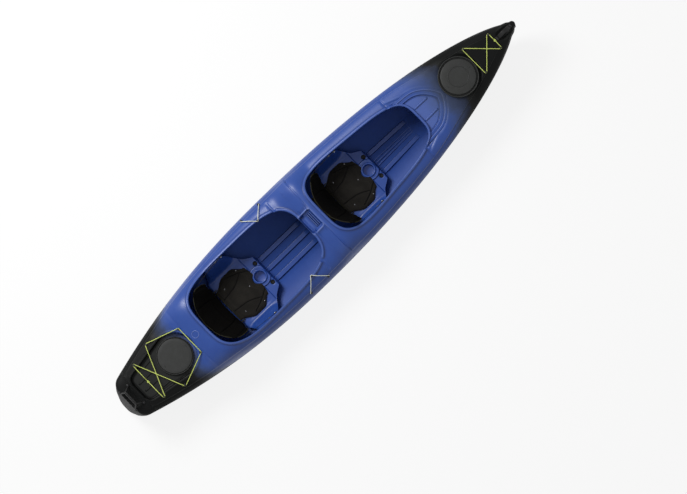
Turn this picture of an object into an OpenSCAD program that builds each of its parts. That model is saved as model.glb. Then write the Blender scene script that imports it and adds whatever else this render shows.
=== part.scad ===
// Tandem kayak with two cockpits. Millimetres, +X to the bow, +Y to port, +Z up.
// The origin is on the keel line, halfway along the boat.

/* [Hull lines] */
// Overall length
hull_length = 4115; // [3900:5:4400]
// Greatest beam, measured at the seam
hull_beam = 811; // [760:1:860]
// Place of the greatest beam, as a share of the length from the stern
beam_place = 0.436; // [0.41:0.002:0.46]
// Wall of the moulded shell
wall = 5; // [4:0.5:7]
// Height of the seam where it is lowest
seam_low = 230; // [215:1:245]
// Rise of the seam at the stern
seam_stern_rise = 138; // [120:1:150]
// Rise of the seam at the bow
seam_bow_rise = 144; // [130:1:155]
// Rise of the keel at both ends
rocker = 85; // [60:1:95]
// Length of the level stretch of keel
keel_flat = 450; // [300:10:600]
// How far the transom leans aft from deck to keel
transom_rake = 85; // [60:1:100]
// Radius of the transom corners, seen from above
transom_corner = 60; // [40:1:70]
// Cutaway of the forefoot under the stem
forefoot = 120; // [80:1:140]
// Half width of the stem
stem_half = 14; // [12:0.5:20]
// Gap left along the seam between hull and deck
seam_gap = 0.4; // [0.3:0.05:0.6]

/* [Deck lines] */
// Height of the deck crown near the middle of the boat
crown_mid = 362; // [350:1:375]
// Height of the deck crown at the stern
crown_stern = 374; // [370:1:390]
// Height of the deck crown at the bow
crown_bow = 437; // [425:1:450]
// Height of the hump behind the rear cockpit
rear_hump = 104; // [80:1:115]
// Height of the hump between the cockpits
mid_hump = 74; // [55:1:85]

/* [Cockpits] */
// Back edge of the rear cockpit opening, from the middle of the boat
rear_cockpit_x = -1155; // [-1175:1:-1140]
// Length of the rear cockpit opening
rear_cockpit_length = 1050; // [1020:1:1060]
// Half width of the rear cockpit opening
rear_cockpit_half = 306; // [295:1:315]
// Back edge of the front cockpit opening, from the middle of the boat
front_cockpit_x = 64; // [50:1:80]
// Length of the front cockpit opening
front_cockpit_length = 1000; // [970:1:1010]
// Half width of the front cockpit opening at its back
front_cockpit_half = 302; // [290:1:310]
// Narrowing of the front cockpit for each mm forward
front_cockpit_taper = 0.09; // [0.06:0.005:0.1]
// Height of the coaming lip above the deck
coaming_lip = 10; // [5:0.5:15]
// Width of the coaming lip
coaming_width = 18; // [14:1:24]
// Depth of the wall inside the coaming
coaming_drop = 30; // [20:1:40]

/* [Deck recesses] */
// Depth of the dash tray ahead of the front cockpit
dash_depth = 12; // [8:0.5:16]
// Half width of the dash tray
dash_half = 158; // [140:1:170]
// Length of the dash tray
dash_length = 190; // [170:1:205]
// Depth of the console pocket between the cockpits
console_depth = 28; // [15:1:34]
// Half width of the console pocket
console_half = 80; // [70:1:90]
// Height of the tank well floor
tankwell_floor = 342; // [338:1:350]
// Half width of the tank well at its back end
tankwell_half = 112; // [105:1:120]
// Depth of the finger recess under each carry handle
finger_recess = 16; // [10:1:20]

/* [Hatches] */
// Centre of the stern hatch, from the stern end
stern_hatch_from_end = 576; // [566:1:590]
// Radius of the stern hatch cover
stern_cover_r = 142; // [136:1:146]
// Height of the stern hatch cover above the tank well floor
stern_cover_h = 22; // [18:1:28]
// Centre of the bow hatch, from the bow end
bow_hatch_from_end = 569; // [560:1:580]
// Radius of the bow hatch cover at its foot
bow_cover_r = 154; // [148:1:158]
// Height of the bow hatch cover above the deck
bow_cover_h = 34; // [28:1:40]
// How much narrower a cover's top is than its foot
cover_taper = 16; // [8:1:20]
// Wall of the hatch covers
cover_wall = 4; // [3:0.5:5]
// Width of the hatch rim's flange inside its cover
rim_flange = 16; // [12:1:18]
// Clearance around a hatch rim and under its cover
rim_clear = 1; // [0.5:0.1:1.5]

/* [Seats] */
// Back edge of the rear seat pad, from the middle of the boat
rear_seat_x = -955; // [-965:1:-945]
// Back edge of the front seat pad, from the middle of the boat
front_seat_x = 205; // [195:1:215]
// Height of the seat pan above the keel line
seat_height = 92; // [84:1:100]
// Length of the seat pan
pan_length = 408; // [395:1:420]
// Half width of the flat of the seat pan
pan_half = 208; // [204:1:216]
// Half width of the seat pan over its hip wings
wing_half = 318; // [308:1:324]
// Height of the hip wings above the flat of the pan
wing_height = 150; // [120:1:170]
// Thickness of the seat pan
pan_wall = 6; // [4:0.5:7]
// Distance of the cup holder from the back of the pan
cup_x = 333; // [326:1:340]
// Inside radius of the cup holder
cup_r = 46; // [42:1:50]
// Depth of the cup holder
cup_depth = 46; // [35:1:50]
// Length of the seat pad
pad_length = 311; // [300:1:318]
// Half width of the seat pad
pad_half = 202; // [185:1:203]
// Thickness of the seat pad
pad_thick = 16; // [12:0.5:20]

/* [Backrests] */
// Lean of the rear backrest from upright, in degrees
rear_recline = 34; // [28:1:35]
// Lean of the front backrest from upright, in degrees
front_recline = 22; // [17:1:23]
// Height of the backrest along its lean
back_height = 330; // [300:1:350]
// Half width of the backrest
back_half = 246; // [230:1:250]
// How far the sides of the backrest wrap forward
back_wrap = 108; // [85:1:112]
// Thickness of the backrest pad
back_pad = 26; // [18:1:32]
// Thickness of the backrest frame
back_frame = 5; // [4:0.5:7]
// Radius of the hinge pins
pin_r = 4; // [3:0.5:5]
// Radial clearance of the hinge pins in the backrest
pin_clear = 0.05; // [0.02:0.01:0.1]
// Width of the backrest straps
strap_width = 25; // [20:1:30]

/* [Foot braces] */
// Distance between the two screws of a rail
rail_span = 375; // [350:1:390]
// Width of a rail
rail_width = 26; // [22:1:30]
// Depth of a rail
rail_depth = 12; // [10:1:14]
// Back screw of the rear rails, from the middle of the boat
rear_rail_x = -250; // [-265:1:-235]
// Height of the rear rails' back screw
rear_rail_z = 166; // [155:1:175]
// Back screw of the front rails, from the middle of the boat
front_rail_x = 1138; // [1125:1:1150]
// Height of the front rails' back screw
front_rail_z = 232; // [225:1:240]
// Travel of a pedal each way
pedal_travel = 120; // [90:1:130]
// Height of a pedal's footplate
pedal_height = 130; // [110:1:140]
// Width of a pedal's footplate
pedal_width = 72; // [60:1:80]

/* [Deck fittings] */
// Radius of the shock cord
cord_r = 3; // [2.5:0.25:4]
// Height of the deck eyes
eye_height = 16; // [14:0.5:18]
// Length of the bow carry handle
bow_handle_length = 150; // [135:1:160]
// Height of the bow carry handle
bow_handle_height = 38; // [30:1:45]
// Half width of the stern carry handle between its feet
stern_handle_half = 80; // [70:1:85]
// Height of the stern carry handle
stern_handle_height = 72; // [60:1:80]

/* [Hidden] */

BLUE = "#2f4fa0";
BLACK = "#26262a";
LIME = "#c8dc5a";
STEEL = "#c8ccd2";
FOAM = "#55585c";

stern_x = -hull_length / 2;
bow_x = hull_length / 2;
beam_x = stern_x + beam_place * hull_length;
half_beam = hull_beam / 2;
deck_aft_x = stern_x + transom_rake;
seam_low_x = stern_x + 0.39 * hull_length;
keel_mid_x = -38;
stern_hatch_x = stern_x + stern_hatch_from_end;
bow_hatch_x = bow_x - bow_hatch_from_end;
rear_cockpit_end = rear_cockpit_x + rear_cockpit_length;
front_cockpit_end = front_cockpit_x + front_cockpit_length;
rear_hump_x = rear_cockpit_x - 8;
mid_hump_x = front_cockpit_x - 35;
seat = 0.3;

// Shares of the plan shape fore and aft of the greatest beam
bow_full = 2.2;
bow_taper = 0.7;
stern_narrow = 0.663;
stern_full = 2.18;
// Exponents of the section curves: deck shoulder, hull bilge amidships and at the ends
deck_shoulder = 5.1;
bilge_mid = 3;
bilge_end = 2.1;
// Depth that the keel's round is cut back to leave its level strip
keel_cut = 4;

function ramp(a, b, v) = let (t = min(1, max(0, (v - a) / (b - a)))) t * t * (3 - 2 * t);
function mix(a, b, w) = a + (b - a) * w;
function bump(x, peak, rise, fall) = x < peak ? ramp(peak - rise, peak, x) : 1 - ramp(peak, peak + fall, x);

// Half beam at the seam, seen from above
function transom_round(x) =
    let (k = min(1, max(0, 1 - (x - deck_aft_x) / transom_corner)))
    transom_corner * (1 - sqrt(1 - k * k));
function plan_half(x) =
    x > beam_x
    ? max(stem_half, half_beam * pow(max(0, 1 - pow((x - beam_x) / (bow_x - beam_x), bow_full)), bow_taper))
        + stem_half * ramp(bow_x - 75, bow_x - 15, x)
    : half_beam * (1 - stern_narrow * pow((beam_x - x) / (beam_x - stern_x),
        stern_full)) - transom_round(x);

// Seam, deck crown and keel in side view
function seam_z(x) =
    x < seam_low_x
    ? seam_low + seam_stern_rise * pow((seam_low_x - x) / (seam_low_x - stern_x), 2.65)
    : seam_low + seam_bow_rise * ramp(0, 1, pow((x - seam_low_x) / (bow_x - seam_low_x), 1.25));
function crown_base(x) =
    x < seam_low_x
    ? mix(crown_mid, crown_stern, pow((seam_low_x - x) / (seam_low_x - stern_x), 2))
    : mix(crown_mid, crown_bow, pow((x - seam_low_x) / (bow_x - seam_low_x), 1.6));
function crown_z(x) = crown_base(x)
    + rear_hump * bump(x, rear_hump_x, 340, 290)
    + mid_hump * bump(x, mid_hump_x, 190, 200);
function keel_z(x) =
    let (d = max(0, abs(x - keel_mid_x) - keel_flat / 2))
    rocker * pow(d / (hull_length / 2 - keel_flat / 2), 1.3);
function bilge(x) = mix(bilge_mid, bilge_end, pow(abs(x) / bow_x, 3));

// Inner faces end short of the outer ones at transom and stem, so their stations are drawn in
function inner_x(x) = mix(deck_aft_x + wall, bow_x - 4 * wall, (x - deck_aft_x) / (bow_x - deck_aft_x));
function outer_x(x) = mix(deck_aft_x, bow_x, (x - deck_aft_x - wall) / (bow_x - deck_aft_x - 5 * wall));
// Inside floor of the hull at a point of the plan
function floor_z(x, y) =
    let (u = outer_x(x), v = min(1, abs(y) / (plan_half(u) - wall)), n = bilge(u),
        depth = seam_z(u) - keel_z(u) - wall + keel_cut)
    max(keel_z(u) + wall, seam_z(u) - depth * pow(1 - pow(v, n), 1 / n));
// Inside half width of the hull at a height
function side_y(x, z) =
    let (u = outer_x(x), n = bilge(u), v = (seam_z(u) - z) / (seam_z(u) - keel_z(u) - wall + keel_cut))
    (plan_half(u) - wall) * pow(1 - pow(max(0, v), n), 1 / n);

// Recesses of the deck: each gives a weight from 0 outside to 1 on its floor
tank_aft_x = stern_x + 200;
tank_fwd_r = stern_cover_r + 34;
tank_corner = 48;
function tank_inside(x, y) =
    let (t = min(1, max(0, (x - tank_aft_x) / (stern_hatch_x - tank_aft_x))),
        a = mix(tankwell_half, tank_fwd_r, t) - abs(y), b = x - tank_aft_x)
    x > stern_hatch_x
    ? tank_fwd_r - norm([x - stern_hatch_x, y])
    : min(min(a, b), tank_corner - norm([max(0, tank_corner - a), max(0, tank_corner - b)]));
function tank_weight(x, y) = ramp(-14, 14, tank_inside(x, y));
dash_x = front_cockpit_end + 18;
function dash_weight(x, y) =
    let (t = (x - dash_x) / dash_length, half = dash_half * pow(max(0, 1 - t * t), 0.75))
    ramp(-8, 12, min(x - dash_x, half - abs(y)));
console_x = rear_cockpit_end + 4;
console_length = 102;
function console_weight(x, y) =
    ramp(-8, 14, min(min(x - console_x, console_x + console_length - x), console_half - abs(y)));
stern_handle_x = deck_aft_x + 44;
bow_handle_x = bow_x - 20 - bow_handle_length / 2;
function oval_weight(x, y, cx, a, b) = ramp(1.15, 0.5, norm([(x - cx) / a, y / b]));
bow_hatch_z = crown_base(bow_hatch_x) - 6;
function bow_flat(x, y) = ramp(bow_cover_r + 34, bow_cover_r + 4, norm([x - bow_hatch_x, y]));

// Height of the deck: shell of the given inset from the outer face
function deck_base(x, y, inset) =
    let (v = min(1, abs(y) / (plan_half(x) - inset)), low = seam_z(x) + seam_gap)
    low + (crown_z(x) - inset - low) * sqrt(1 - pow(v, deck_shoulder));
function deck_z(x, y, inset = 0) =
    let (z0 = deck_base(x, y, inset),
        z1 = mix(z0, bow_hatch_z - inset, bow_flat(x, y)),
        z2 = min(z1, mix(z1, tankwell_floor - inset, tank_weight(x, y))))
    z2 - dash_depth * dash_weight(x, y) - console_depth * console_weight(x, y)
    - finger_recess * oval_weight(x, y, stern_handle_x, 36, 78)
    - finger_recess * oval_weight(x, y, bow_handle_x, 62, 30);

// A closed solid between two grids of points of the same size
function grid_faces(rows, cols, base, flip) = [
    for (i = [0 : rows - 2], j = [0 : cols - 2])
    let (a = base + i * cols + j, b = a + 1, c = a + cols, d = c + 1)
    each flip ? [[a, b, c], [b, d, c]] : [[a, c, b], [b, c, d]]];
function edge_loop(rows, cols) = concat(
    [for (j = [0 : cols - 2]) j],
    [for (i = [0 : rows - 2]) i * cols + cols - 1],
    [for (j = [cols - 1 : -1 : 1]) (rows - 1) * cols + j],
    [for (i = [rows - 1 : -1 : 1]) i * cols]);
module slab(top, bottom) {
    rows = len(top);
    cols = len(top[0]);
    n = rows * cols;
    loop = edge_loop(rows, cols);
    side = [for (k = [0 : len(loop) - 1])
        let (a = loop[k], b = loop[(k + 1) % len(loop)])
        each [[b, a, a + n], [b, a + n, b + n]]];
    points = concat([for (r = top) each r], [for (r = bottom) each r]);
    polyhedron(points, concat(grid_faces(rows, cols, 0, true), grid_faces(rows, cols, n, false), side));
}

// A tube or strap: a section carried along a path, with its width kept level
function unit(v) = v / norm(v);
function path_dir(path, i) =
    unit(path[min(i + 1, len(path) - 1)] - path[max(i - 1, 0)]);
function ring_at(path, i, section) =
    let (d = path_dir(path, i),
        across = unit(cross(abs(d[2]) > 0.95 ? [0, 1, 0] : [0, 0, 1], d)),
        up = cross(d, across))
    [for (s = section) path[i] + across * s[0] + up * s[1]];
module sweep(path, section) {
    n = len(section);
    m = len(path);
    points = [for (i = [0 : m - 1]) each ring_at(path, i, section)];
    sides = [for (i = [0 : m - 2], k = [0 : n - 1])
        let (a = i * n + k, b = i * n + (k + 1) % n)
        each [[a, a + n, b], [b, a + n, b + n]]];
    polyhedron(points, concat([[for (k = [0 : n - 1]) k]], sides,
        [[for (k = [n - 1 : -1 : 0]) (m - 1) * n + k]]));
}
function round_section(r, n = 8) = [for (k = [0 : n - 1]) r * [cos(360 * k / n), sin(360 * k / n)]];
function flat_section(w, t) = [[w / 2, -t / 2], [w / 2, t / 2], [-w / 2, t / 2], [-w / 2, -t / 2]];

// Hull: stations from stern to bow, each with levels from the seam down to the keel
hull_stations = 40;
hull_levels = 8;
function hull_x(k) =
    let (t = k / hull_stations)
    mix(deck_aft_x, bow_x, t - 0.08 * sin(360 * t));
function hull_point(x, level, inset) =
    let (n = bilge(x), a = 90 * level / hull_levels, b = plan_half(x) - inset,
        low = keel_z(x) + inset, depth = seam_z(x) - low + keel_cut,
        z = max(low, seam_z(x) - depth * pow(sin(a), 2 / n)),
        share = (seam_z(x) - z) / (seam_z(x) - low),
        aft = pow(max(0, 1 - (x - deck_aft_x) / 600), 2),
        fore = pow(max(0, 1 - (bow_x - x) / 500), 2))
    [(inset > 0 ? inner_x(x) : x) - transom_rake * share * aft - forefoot * pow(share, 4) * fore,
        b * pow(max(0, cos(a)), 2 / n), z];
function hull_ring(x, inset) = concat(
    [for (i = [0 : hull_levels]) hull_point(x, i, inset)],
    [for (i = [hull_levels - 1 : -1 : 0]) let (p = hull_point(x, i, inset)) [p[0], -p[1], p[2]]]);
// Faces that close one end between a run of port points and the matching starboard points
function end_plate(port, board, flip) = [
    for (k = [0 : len(port) - 2])
    each [for (f = [[port[k], board[k], board[k + 1]], [port[k], board[k + 1], port[k + 1]]])
        if (f[0] != f[1] && f[1] != f[2] && f[0] != f[2]) flip ? [f[0], f[2], f[1]] : f]];
module hull_shell() {
    rows = hull_stations + 1;
    cols = 2 * hull_levels + 1;
    n = rows * cols;
    far = (rows - 1) * cols;
    last = cols - 1;
    port = [for (l = [0 : hull_levels]) l];
    board = [for (l = [0 : hull_levels]) last - l];
    rims = [for (i = [0 : rows - 2])
        let (a = i * cols, b = a + cols, c = a + last, d = b + last)
        each [[a, b, a + n], [b, b + n, a + n], [c + n, d + n, c], [d + n, d, c]]];
    tops = [[0, n, n + last], [0, n + last, last], [far + n, far, far + last],
        [far + n, far + last, far + n + last]];
    ends = concat(end_plate(port, board, false), [for (f = end_plate(port, board, true)) f + [n, n, n]],
        [for (f = end_plate(port, board, true)) f + [far, far, far]],
        [for (f = end_plate(port, board, false)) f + [1, 1, 1] * (n + far)]);
    color(BLUE)
    polyhedron(concat([for (k = [0 : hull_stations]) each hull_ring(hull_x(k), 0)],
            [for (k = [0 : hull_stations]) each hull_ring(hull_x(k), wall)]),
        concat(grid_faces(rows, cols, 0, true), grid_faces(rows, cols, n, false), rims, tops, ends));
}

// Openings in the deck: [aft end, length, half width, narrowing, exponent, lip, lip width, wall drop, steps]
rear_opening = [rear_cockpit_x, rear_cockpit_length, rear_cockpit_half, 0.01, 3.8,
    coaming_lip, coaming_width, coaming_drop, 24];
front_opening = [front_cockpit_x, front_cockpit_length, front_cockpit_half, front_cockpit_taper, 4.0,
    coaming_lip, coaming_width, coaming_drop, 24];
stern_hole_r = stern_cover_r - cover_wall - rim_flange - rim_clear;
bow_hole_r = bow_cover_r - cover_wall - rim_flange - rim_clear;
hatch_edge = 3;
stern_opening = [stern_hatch_x - stern_hole_r, 2 * stern_hole_r, stern_hole_r, 0, 2, 0, hatch_edge,
    2 * wall, 16];
bow_opening = [bow_hatch_x - bow_hole_r, 2 * bow_hole_r, bow_hole_r, 0, 2, 0, hatch_edge, 2 * wall, 16];
deck_cols = 9;
lip_blend = 20;

// Half outline of an opening as a superellipse that narrows forward
function power(v, p) = sign(v) * pow(abs(v), p);
function outline(o, k) =
    let (a = 180 * k / o[8], x = o[0] + o[1] / 2 - o[1] / 2 * power(cos(a), 2 / o[4]))
    [x, (o[2] - o[3] * (x - o[0])) * pow(abs(sin(a)) < 1e-6 ? 0 : sin(a), 2 / o[4])];
function outline_normal(o, k) =
    k == 0 ? [-1, 0] : k == o[8] ? [1, 0]
    : let (t = outline(o, k + 1) - outline(o, k - 1)) unit([-t[1], t[0]]);
function margin(o) = o[6] + lip_blend + 6;
function gunwale_x(o, x) = let (c = o[0] + o[1] / 2) c + (x - c) * (1 + 2 * margin(o) / o[1]);

// A deck station: points from the opening, or from the centreline, out to the seam
function gunwale(x, inset) = [inset > 0 ? inner_x(x) : x, plan_half(x) - inset, seam_z(x) + seam_gap];
function spread(j) = sin(90 * (j - 3) / (deck_cols - 3));
function across(p, x, inset) = [
    for (j = [4 : deck_cols])
    let (g = gunwale(x, inset), q = p + (([g[0], g[1]] - p) * spread(j)))
    j == deck_cols ? g : [q[0], q[1], deck_z(q[0], q[1], inset)]];
function plain_station(x, inset) =
    let (xi = inset > 0 ? inner_x(x) : x, c = [xi, 0, deck_z(xi, 0, inset)])
    concat([c, c, c, c], across([xi, 0], x, inset));
function open_station(o, k, inset) =
    let (p = outline(o, k), m = outline_normal(o, k), e = p + m * inset, l = p + m * max(inset + 1, o[6]),
        f = p + m * (o[6] + lip_blend), top = deck_z(p[0], p[1]) + o[5])
    concat([
        [e[0], e[1], top - o[5] - o[7]],
        [e[0], e[1], top - inset],
        [l[0], l[1], deck_z(l[0], l[1]) + o[5] - inset],
        [f[0], f[1], deck_z(f[0], f[1], inset)]],
        across(f, gunwale_x(o, p[0]), inset));
function plain_run(a, b, n, inset) = [for (k = [0 : n]) [0, plain_station(mix(a, b, k / n), inset)]];
function open_run(o, inset) = [for (k = [0 : o[8]]) [1, open_station(o, k, inset)]];
station_step = 14;
function before(o) = o[0] - margin(o) - station_step;
function after(o) = o[0] + o[1] + margin(o) + station_step;
function deck_stations(inset) = concat(
    plain_run(deck_aft_x, before(stern_opening), 9, inset), open_run(stern_opening, inset),
    plain_run(after(stern_opening), before(rear_opening), 3, inset), open_run(rear_opening, inset),
    plain_run(after(rear_opening), before(front_opening), 2, inset), open_run(front_opening, inset),
    plain_run(after(front_opening), before(bow_opening), 6, inset), open_run(bow_opening, inset),
    plain_run(after(bow_opening), bow_x, 9, inset));
function mirrored(pts) = [for (p = pts) [p[0], -p[1], p[2]]];
function strip(a, b, c, d) = [[a, c, b], [b, c, d]];
module deck_shell() {
    outer = deck_stations(0);
    inner = deck_stations(wall);
    n = len(outer);
    c = deck_cols + 1;
    pts = concat([for (s = outer) each s[1]], [for (s = inner) each s[1]],
        [for (s = outer) each mirrored(s[1])], [for (s = inner) each mirrored(s[1])]);
    low = n * c;
    faces = [for (i = [0 : n - 2])
        let (open = outer[i][0] * outer[i + 1][0], j0 = open == 1 ? 0 : 3)
        each concat(
            [for (j = [j0 : c - 2]) each strip(i * c + j, i * c + j + 1, i * c + c + j, i * c + c + j + 1)],
            [for (j = [j0 : c - 2])
                each strip(low + i * c + j + 1, low + i * c + j, low + i * c + c + j + 1,
                    low + i * c + c + j)],
            strip(i * c + c - 1, low + i * c + c - 1, i * c + 2 * c - 1, low + i * c + 2 * c - 1),
            open == 1 ? strip(low + i * c, i * c, low + i * c + c, i * c + c) : [])];
    end = (n - 1) * c;
    port = [for (j = [3 : c - 1]) j];
    board = [for (j = [3 : c - 1]) j == 3 ? j : j + 2 * low];
    edge = c - 1;
    ends = concat(end_plate(port, board, false), [for (f = end_plate(port, board, true)) f + [low,
        low, low]],
        [for (f = end_plate(port, board, true)) f + [end, end, end]],
        [for (f = end_plate(port, board, false)) f + [1, 1, 1] * (low + end)],
        [[edge, edge + 2 * low, edge + 3 * low], [edge, edge + 3 * low, edge + low]],
        [for (f = [[edge + low, edge + 3 * low, edge + 2 * low],
            [edge + low, edge + 2 * low, edge]]) f + [end, end, end]]);
    color(BLUE)
    polyhedron(pts, concat([for (f = faces) [f[0], f[2], f[1]]],
        [for (f = faces) f + [1, 1, 1] * 2 * low], ends));
}

// Hatches: a rim with a flange on the deck, and a cover that pulls off upwards
rim_plate = 4;
module hatch_rim(x, z, hole_r, cover_h) {
    r = hole_r - rim_clear;
    flange_r = hole_r + rim_flange;
    color(BLACK)
    translate([x, 0, z + seat / 2])
    rotate_extrude($fn = 96)
    polygon([[r - 7, -14], [r, -14], [r, 0], [flange_r, 0], [flange_r, rim_plate], [r, rim_plate],
        [r, cover_h - cover_wall - rim_clear], [r - 7, cover_h - cover_wall - rim_clear]]);
}
module hatch_cover(x, z, cover_r, cover_h, disc_r, disc_h) {
    top_r = cover_r - cover_taper;
    color(BLACK)
    translate([x, 0, z + seat])
    rotate_extrude($fn = 96)
    polygon([[0, cover_h - cover_wall], [top_r - cover_wall, cover_h - cover_wall],
        [cover_r - cover_wall, rim_plate + 2], [cover_r - cover_wall, 0], [cover_r, 0],
        [cover_r, rim_plate + 3], [top_r + 2, cover_h - 2], [top_r, cover_h],
        [disc_r + 2, cover_h], [disc_r, cover_h + disc_h], [0, cover_h + disc_h]]);
}
module bow_hatch_rim() { hatch_rim(bow_hatch_x, bow_hatch_z, bow_hole_r, bow_cover_h); }
module stern_hatch_rim() { hatch_rim(stern_hatch_x, tankwell_floor, stern_hole_r, stern_cover_h); }
module bow_hatch_cover() { hatch_cover(bow_hatch_x, bow_hatch_z, bow_cover_r, bow_cover_h,
    bow_cover_r / 2, 2); }
module stern_hatch_cover() {
    hatch_cover(stern_hatch_x, tankwell_floor, stern_cover_r, stern_cover_h,
        stern_cover_r - cover_taper - 12, 1);
}

// Seats: the pan's height over the floor, with hip wings, a cup holder and a rolled front edge
cup_round = 8;
pan_rows = [0, 60, 120, 180, 240, 275, cup_x - cup_r - cup_round, cup_x - cup_r + cup_round,
    cup_x - cup_r / 2, cup_x,
    cup_x + cup_r / 2, cup_x + cup_r - cup_round, cup_x + cup_r + cup_round, pan_length - 10, pan_length];
pan_cols = [0, cup_r / 2, cup_r - cup_round, cup_r + cup_round, 90, 140, pan_half, pan_half + 20,
    wing_half - 18, wing_half];
function both_sides(c) = concat([for (i = [len(c) - 1 : -1 : 1]) -c[i]], c);
function wing_at(x) = ramp(0, 70, x) * (1 - ramp(210, 330, x));
function pan_edge(x) = mix(1, 0.66, ramp(250, pan_length, x)) * (1 - 0.12 * pow(max(0, (x - 368) / 40), 2));
// Distance from the middle of a column of the pan, which is widest at its wings
function pan_y(x, c) =
    let (outer = mix(20, wing_half - pan_half, wing_at(x)))
    sign(c) * pan_edge(x) * (min(abs(c), pan_half) + max(0,
        abs(c) - pan_half) / (wing_half - pan_half) * outer);
floor_clear = 1.1;
function pan_z(base, x, y) =
    let (flat = seat_height + wing_height * wing_at(x) * ramp(pan_half, wing_half, abs(y)),
        cup = cup_depth * ramp(cup_r + cup_round, cup_r - cup_round, norm([x - cup_x, y])),
        front = ramp(pan_length - 14, pan_length, x))
    mix(flat - cup, floor_z(base + x, y) + floor_clear + pan_wall, front);
module seat_pan(base) {
    ys = both_sides(pan_cols);
    color(BLUE)
    slab([for (x = pan_rows) [for (c = ys) let (y = pan_y(x, c)) [base + x, y, pan_z(base, x, y)]]],
        [for (x = pan_rows) [for (c = ys) let (y = pan_y(x, c)) [base + x, y,
            pan_z(base, x, y) - pan_wall]]]);
}
module rear_seat_pan() { seat_pan(rear_seat_x); }
module front_seat_pan() { seat_pan(front_seat_x); }

// Seat pad: crowned, with drawn-in sides, two channels and a notch for the cup holder
pad_rows = 15;
pad_cols = 17;
function pad_x(t, s) =
    let (notch = (cup_r + 12) * sqrt(max(0, 1 - pow(s * pad_half / (cup_r + 22), 2))))
    mix(6, pad_length - max(0, notch - (cup_x - pad_length)) - 20 * pow(abs(s), 3), t);
function pad_width(t) = pad_half * mix(0.72, 1, ramp(0, 0.42, t)) * mix(1, 0.7, ramp(0.68, 1, t));
function pad_top(t, s) =
    let (edge = min(1, 6 * min(min(t, 1 - t), (1 - abs(s)))), round = sqrt(1 - pow(1 - edge, 2)),
        channel = 3 * (1 - ramp(0, 0.09, abs(abs(s) - mix(0.42, 0.62, t)))) * ramp(0, 0.2, min(t, 1 - t)))
    pad_thick * mix(0.45, 1, round) - channel + 3 * (1 - s * s) * sin(180 * t);
module seat_pad(base) {
    t = [for (i = [0 : pad_rows - 1]) i / (pad_rows - 1)];
    s = [for (j = [0 : pad_cols - 1]) 2 * j / (pad_cols - 1) - 1];
    z = seat_height + seat;
    color(BLACK)
    slab([for (a = t) [for (b = s) [base + pad_x(a, b), b * pad_width(a), z + pad_top(a, b)]]],
        [for (a = t) [for (b = s) [base + pad_x(a, b), b * pad_width(a) * 0.98, z]]]);
}
module rear_seat_pad() { seat_pad(rear_seat_x); }
module front_seat_pad() { seat_pad(front_seat_x); }

// Rivets: round heads on the pad, with shanks that go through it into the pan
rivet_spots = [[72, 118], [72, -118], [232, 160], [232, -160], [225, 0]];
rivet_r = 6;
rivet_h = 2.5;
rivet_shank = 2.5;
function rivet_top(p) =
    let (t = (p[0] - 6) / (pad_x(1, p[1] / pad_half) - 6)) pad_top(t, p[1] / pad_width(t));
module pad_rivets(base) {
    color(STEEL)
    for (p = rivet_spots)
        translate([base + p[0], p[1], seat_height + seat + rivet_top(p) + 0.6]) {
            cylinder(r = rivet_r, h = rivet_h, $fn = 24);
            translate([0, 0, -rivet_top(p) - 5]) cylinder(r = rivet_shank, h = rivet_top(p) + 6, $fn = 24);
        }
}
module rear_pad_rivets() { pad_rivets(rear_seat_x); }
module front_pad_rivets() { pad_rivets(front_seat_x); }

// Backrest hinge: brackets on the pan carry two pins, and the frame turns on them
hinge_back = -16;
hinge_up = 20;
bracket_y = 150;
bracket_wall = 8;
knuckle_wall = 14;
knuckle_r = pin_r + 5;
hinge_gap = 0.6;
hinge_z = seat_height + hinge_up;
module on_both_sides() {
    children();
    mirror([0, 1, 0]) children();
}
module hinge_brackets(base) {
    color(BLACK)
    on_both_sides() {
        difference() {
            translate([base + hinge_back, bracket_y + bracket_wall, hinge_z])
            rotate([90, 0, 0])
            linear_extrude(bracket_wall)
            polygon([[-knuckle_r, -hinge_up + 12], [-knuckle_r, knuckle_r], [knuckle_r, knuckle_r],
                [44, -hinge_up + seat + 4], [44, -hinge_up + seat], [16, -hinge_up + seat],
                    [knuckle_r, -hinge_up + 8]]);
            translate([base + hinge_back, bracket_y - 1, hinge_z])
            rotate([-90, 0, 0])
            cylinder(r = pin_r, h = bracket_wall + 2, $fn = 48);
        }
    }
}
module hinge_pins(base) {
    color(STEEL)
    on_both_sides()
    translate([base + hinge_back, bracket_y - hinge_gap - knuckle_wall, hinge_z])
    rotate([-90, 0, 0])
    cylinder(r = pin_r - 0.01, h = knuckle_wall + hinge_gap + bracket_wall, $fn = 48);
}
module rear_hinge_brackets() { hinge_brackets(rear_seat_x); }
module front_hinge_brackets() { hinge_brackets(front_seat_x); }
module rear_hinge_pins() { hinge_pins(rear_seat_x); }
module front_hinge_pins() { hinge_pins(front_seat_x); }

// Backrest frame: a plate on two knuckles that leans back from the hinge
plate_low = 34;
plate_half = back_half * 0.5;
function recline(base) = base == front_seat_x ? front_recline : rear_recline;
module back_place(base) {
    translate([base + hinge_back, 0, hinge_z])
    rotate([0, -recline(base), 0])
    children();
}
module backrest_frame(base) {
    color(BLACK)
    back_place(base) {
        translate([-back_frame, -plate_half, plate_low])
        cube([back_frame, 2 * plate_half, back_height - plate_low - 20]);
        on_both_sides()
        difference() {
            translate([0, bracket_y - hinge_gap, 0])
            rotate([90, 0, 0])
            linear_extrude(knuckle_wall)
            union() {
                circle(r = knuckle_r, $fn = 48);
                translate([-back_frame, 0]) square([back_frame, plate_low]);
            }
            translate([0, bracket_y + 1, 0])
            rotate([90, 0, 0])
            cylinder(r = pin_r + pin_clear, h = knuckle_wall + 4, $fn = 48);
        }
        translate([-back_frame, -bracket_y + hinge_gap, plate_low - 12])
        cube([back_frame, 2 * (bracket_y - hinge_gap), 24]);
    }
}
module rear_backrest_frame() { backrest_frame(rear_seat_x); }
module front_backrest_frame() { backrest_frame(front_seat_x); }

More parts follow.
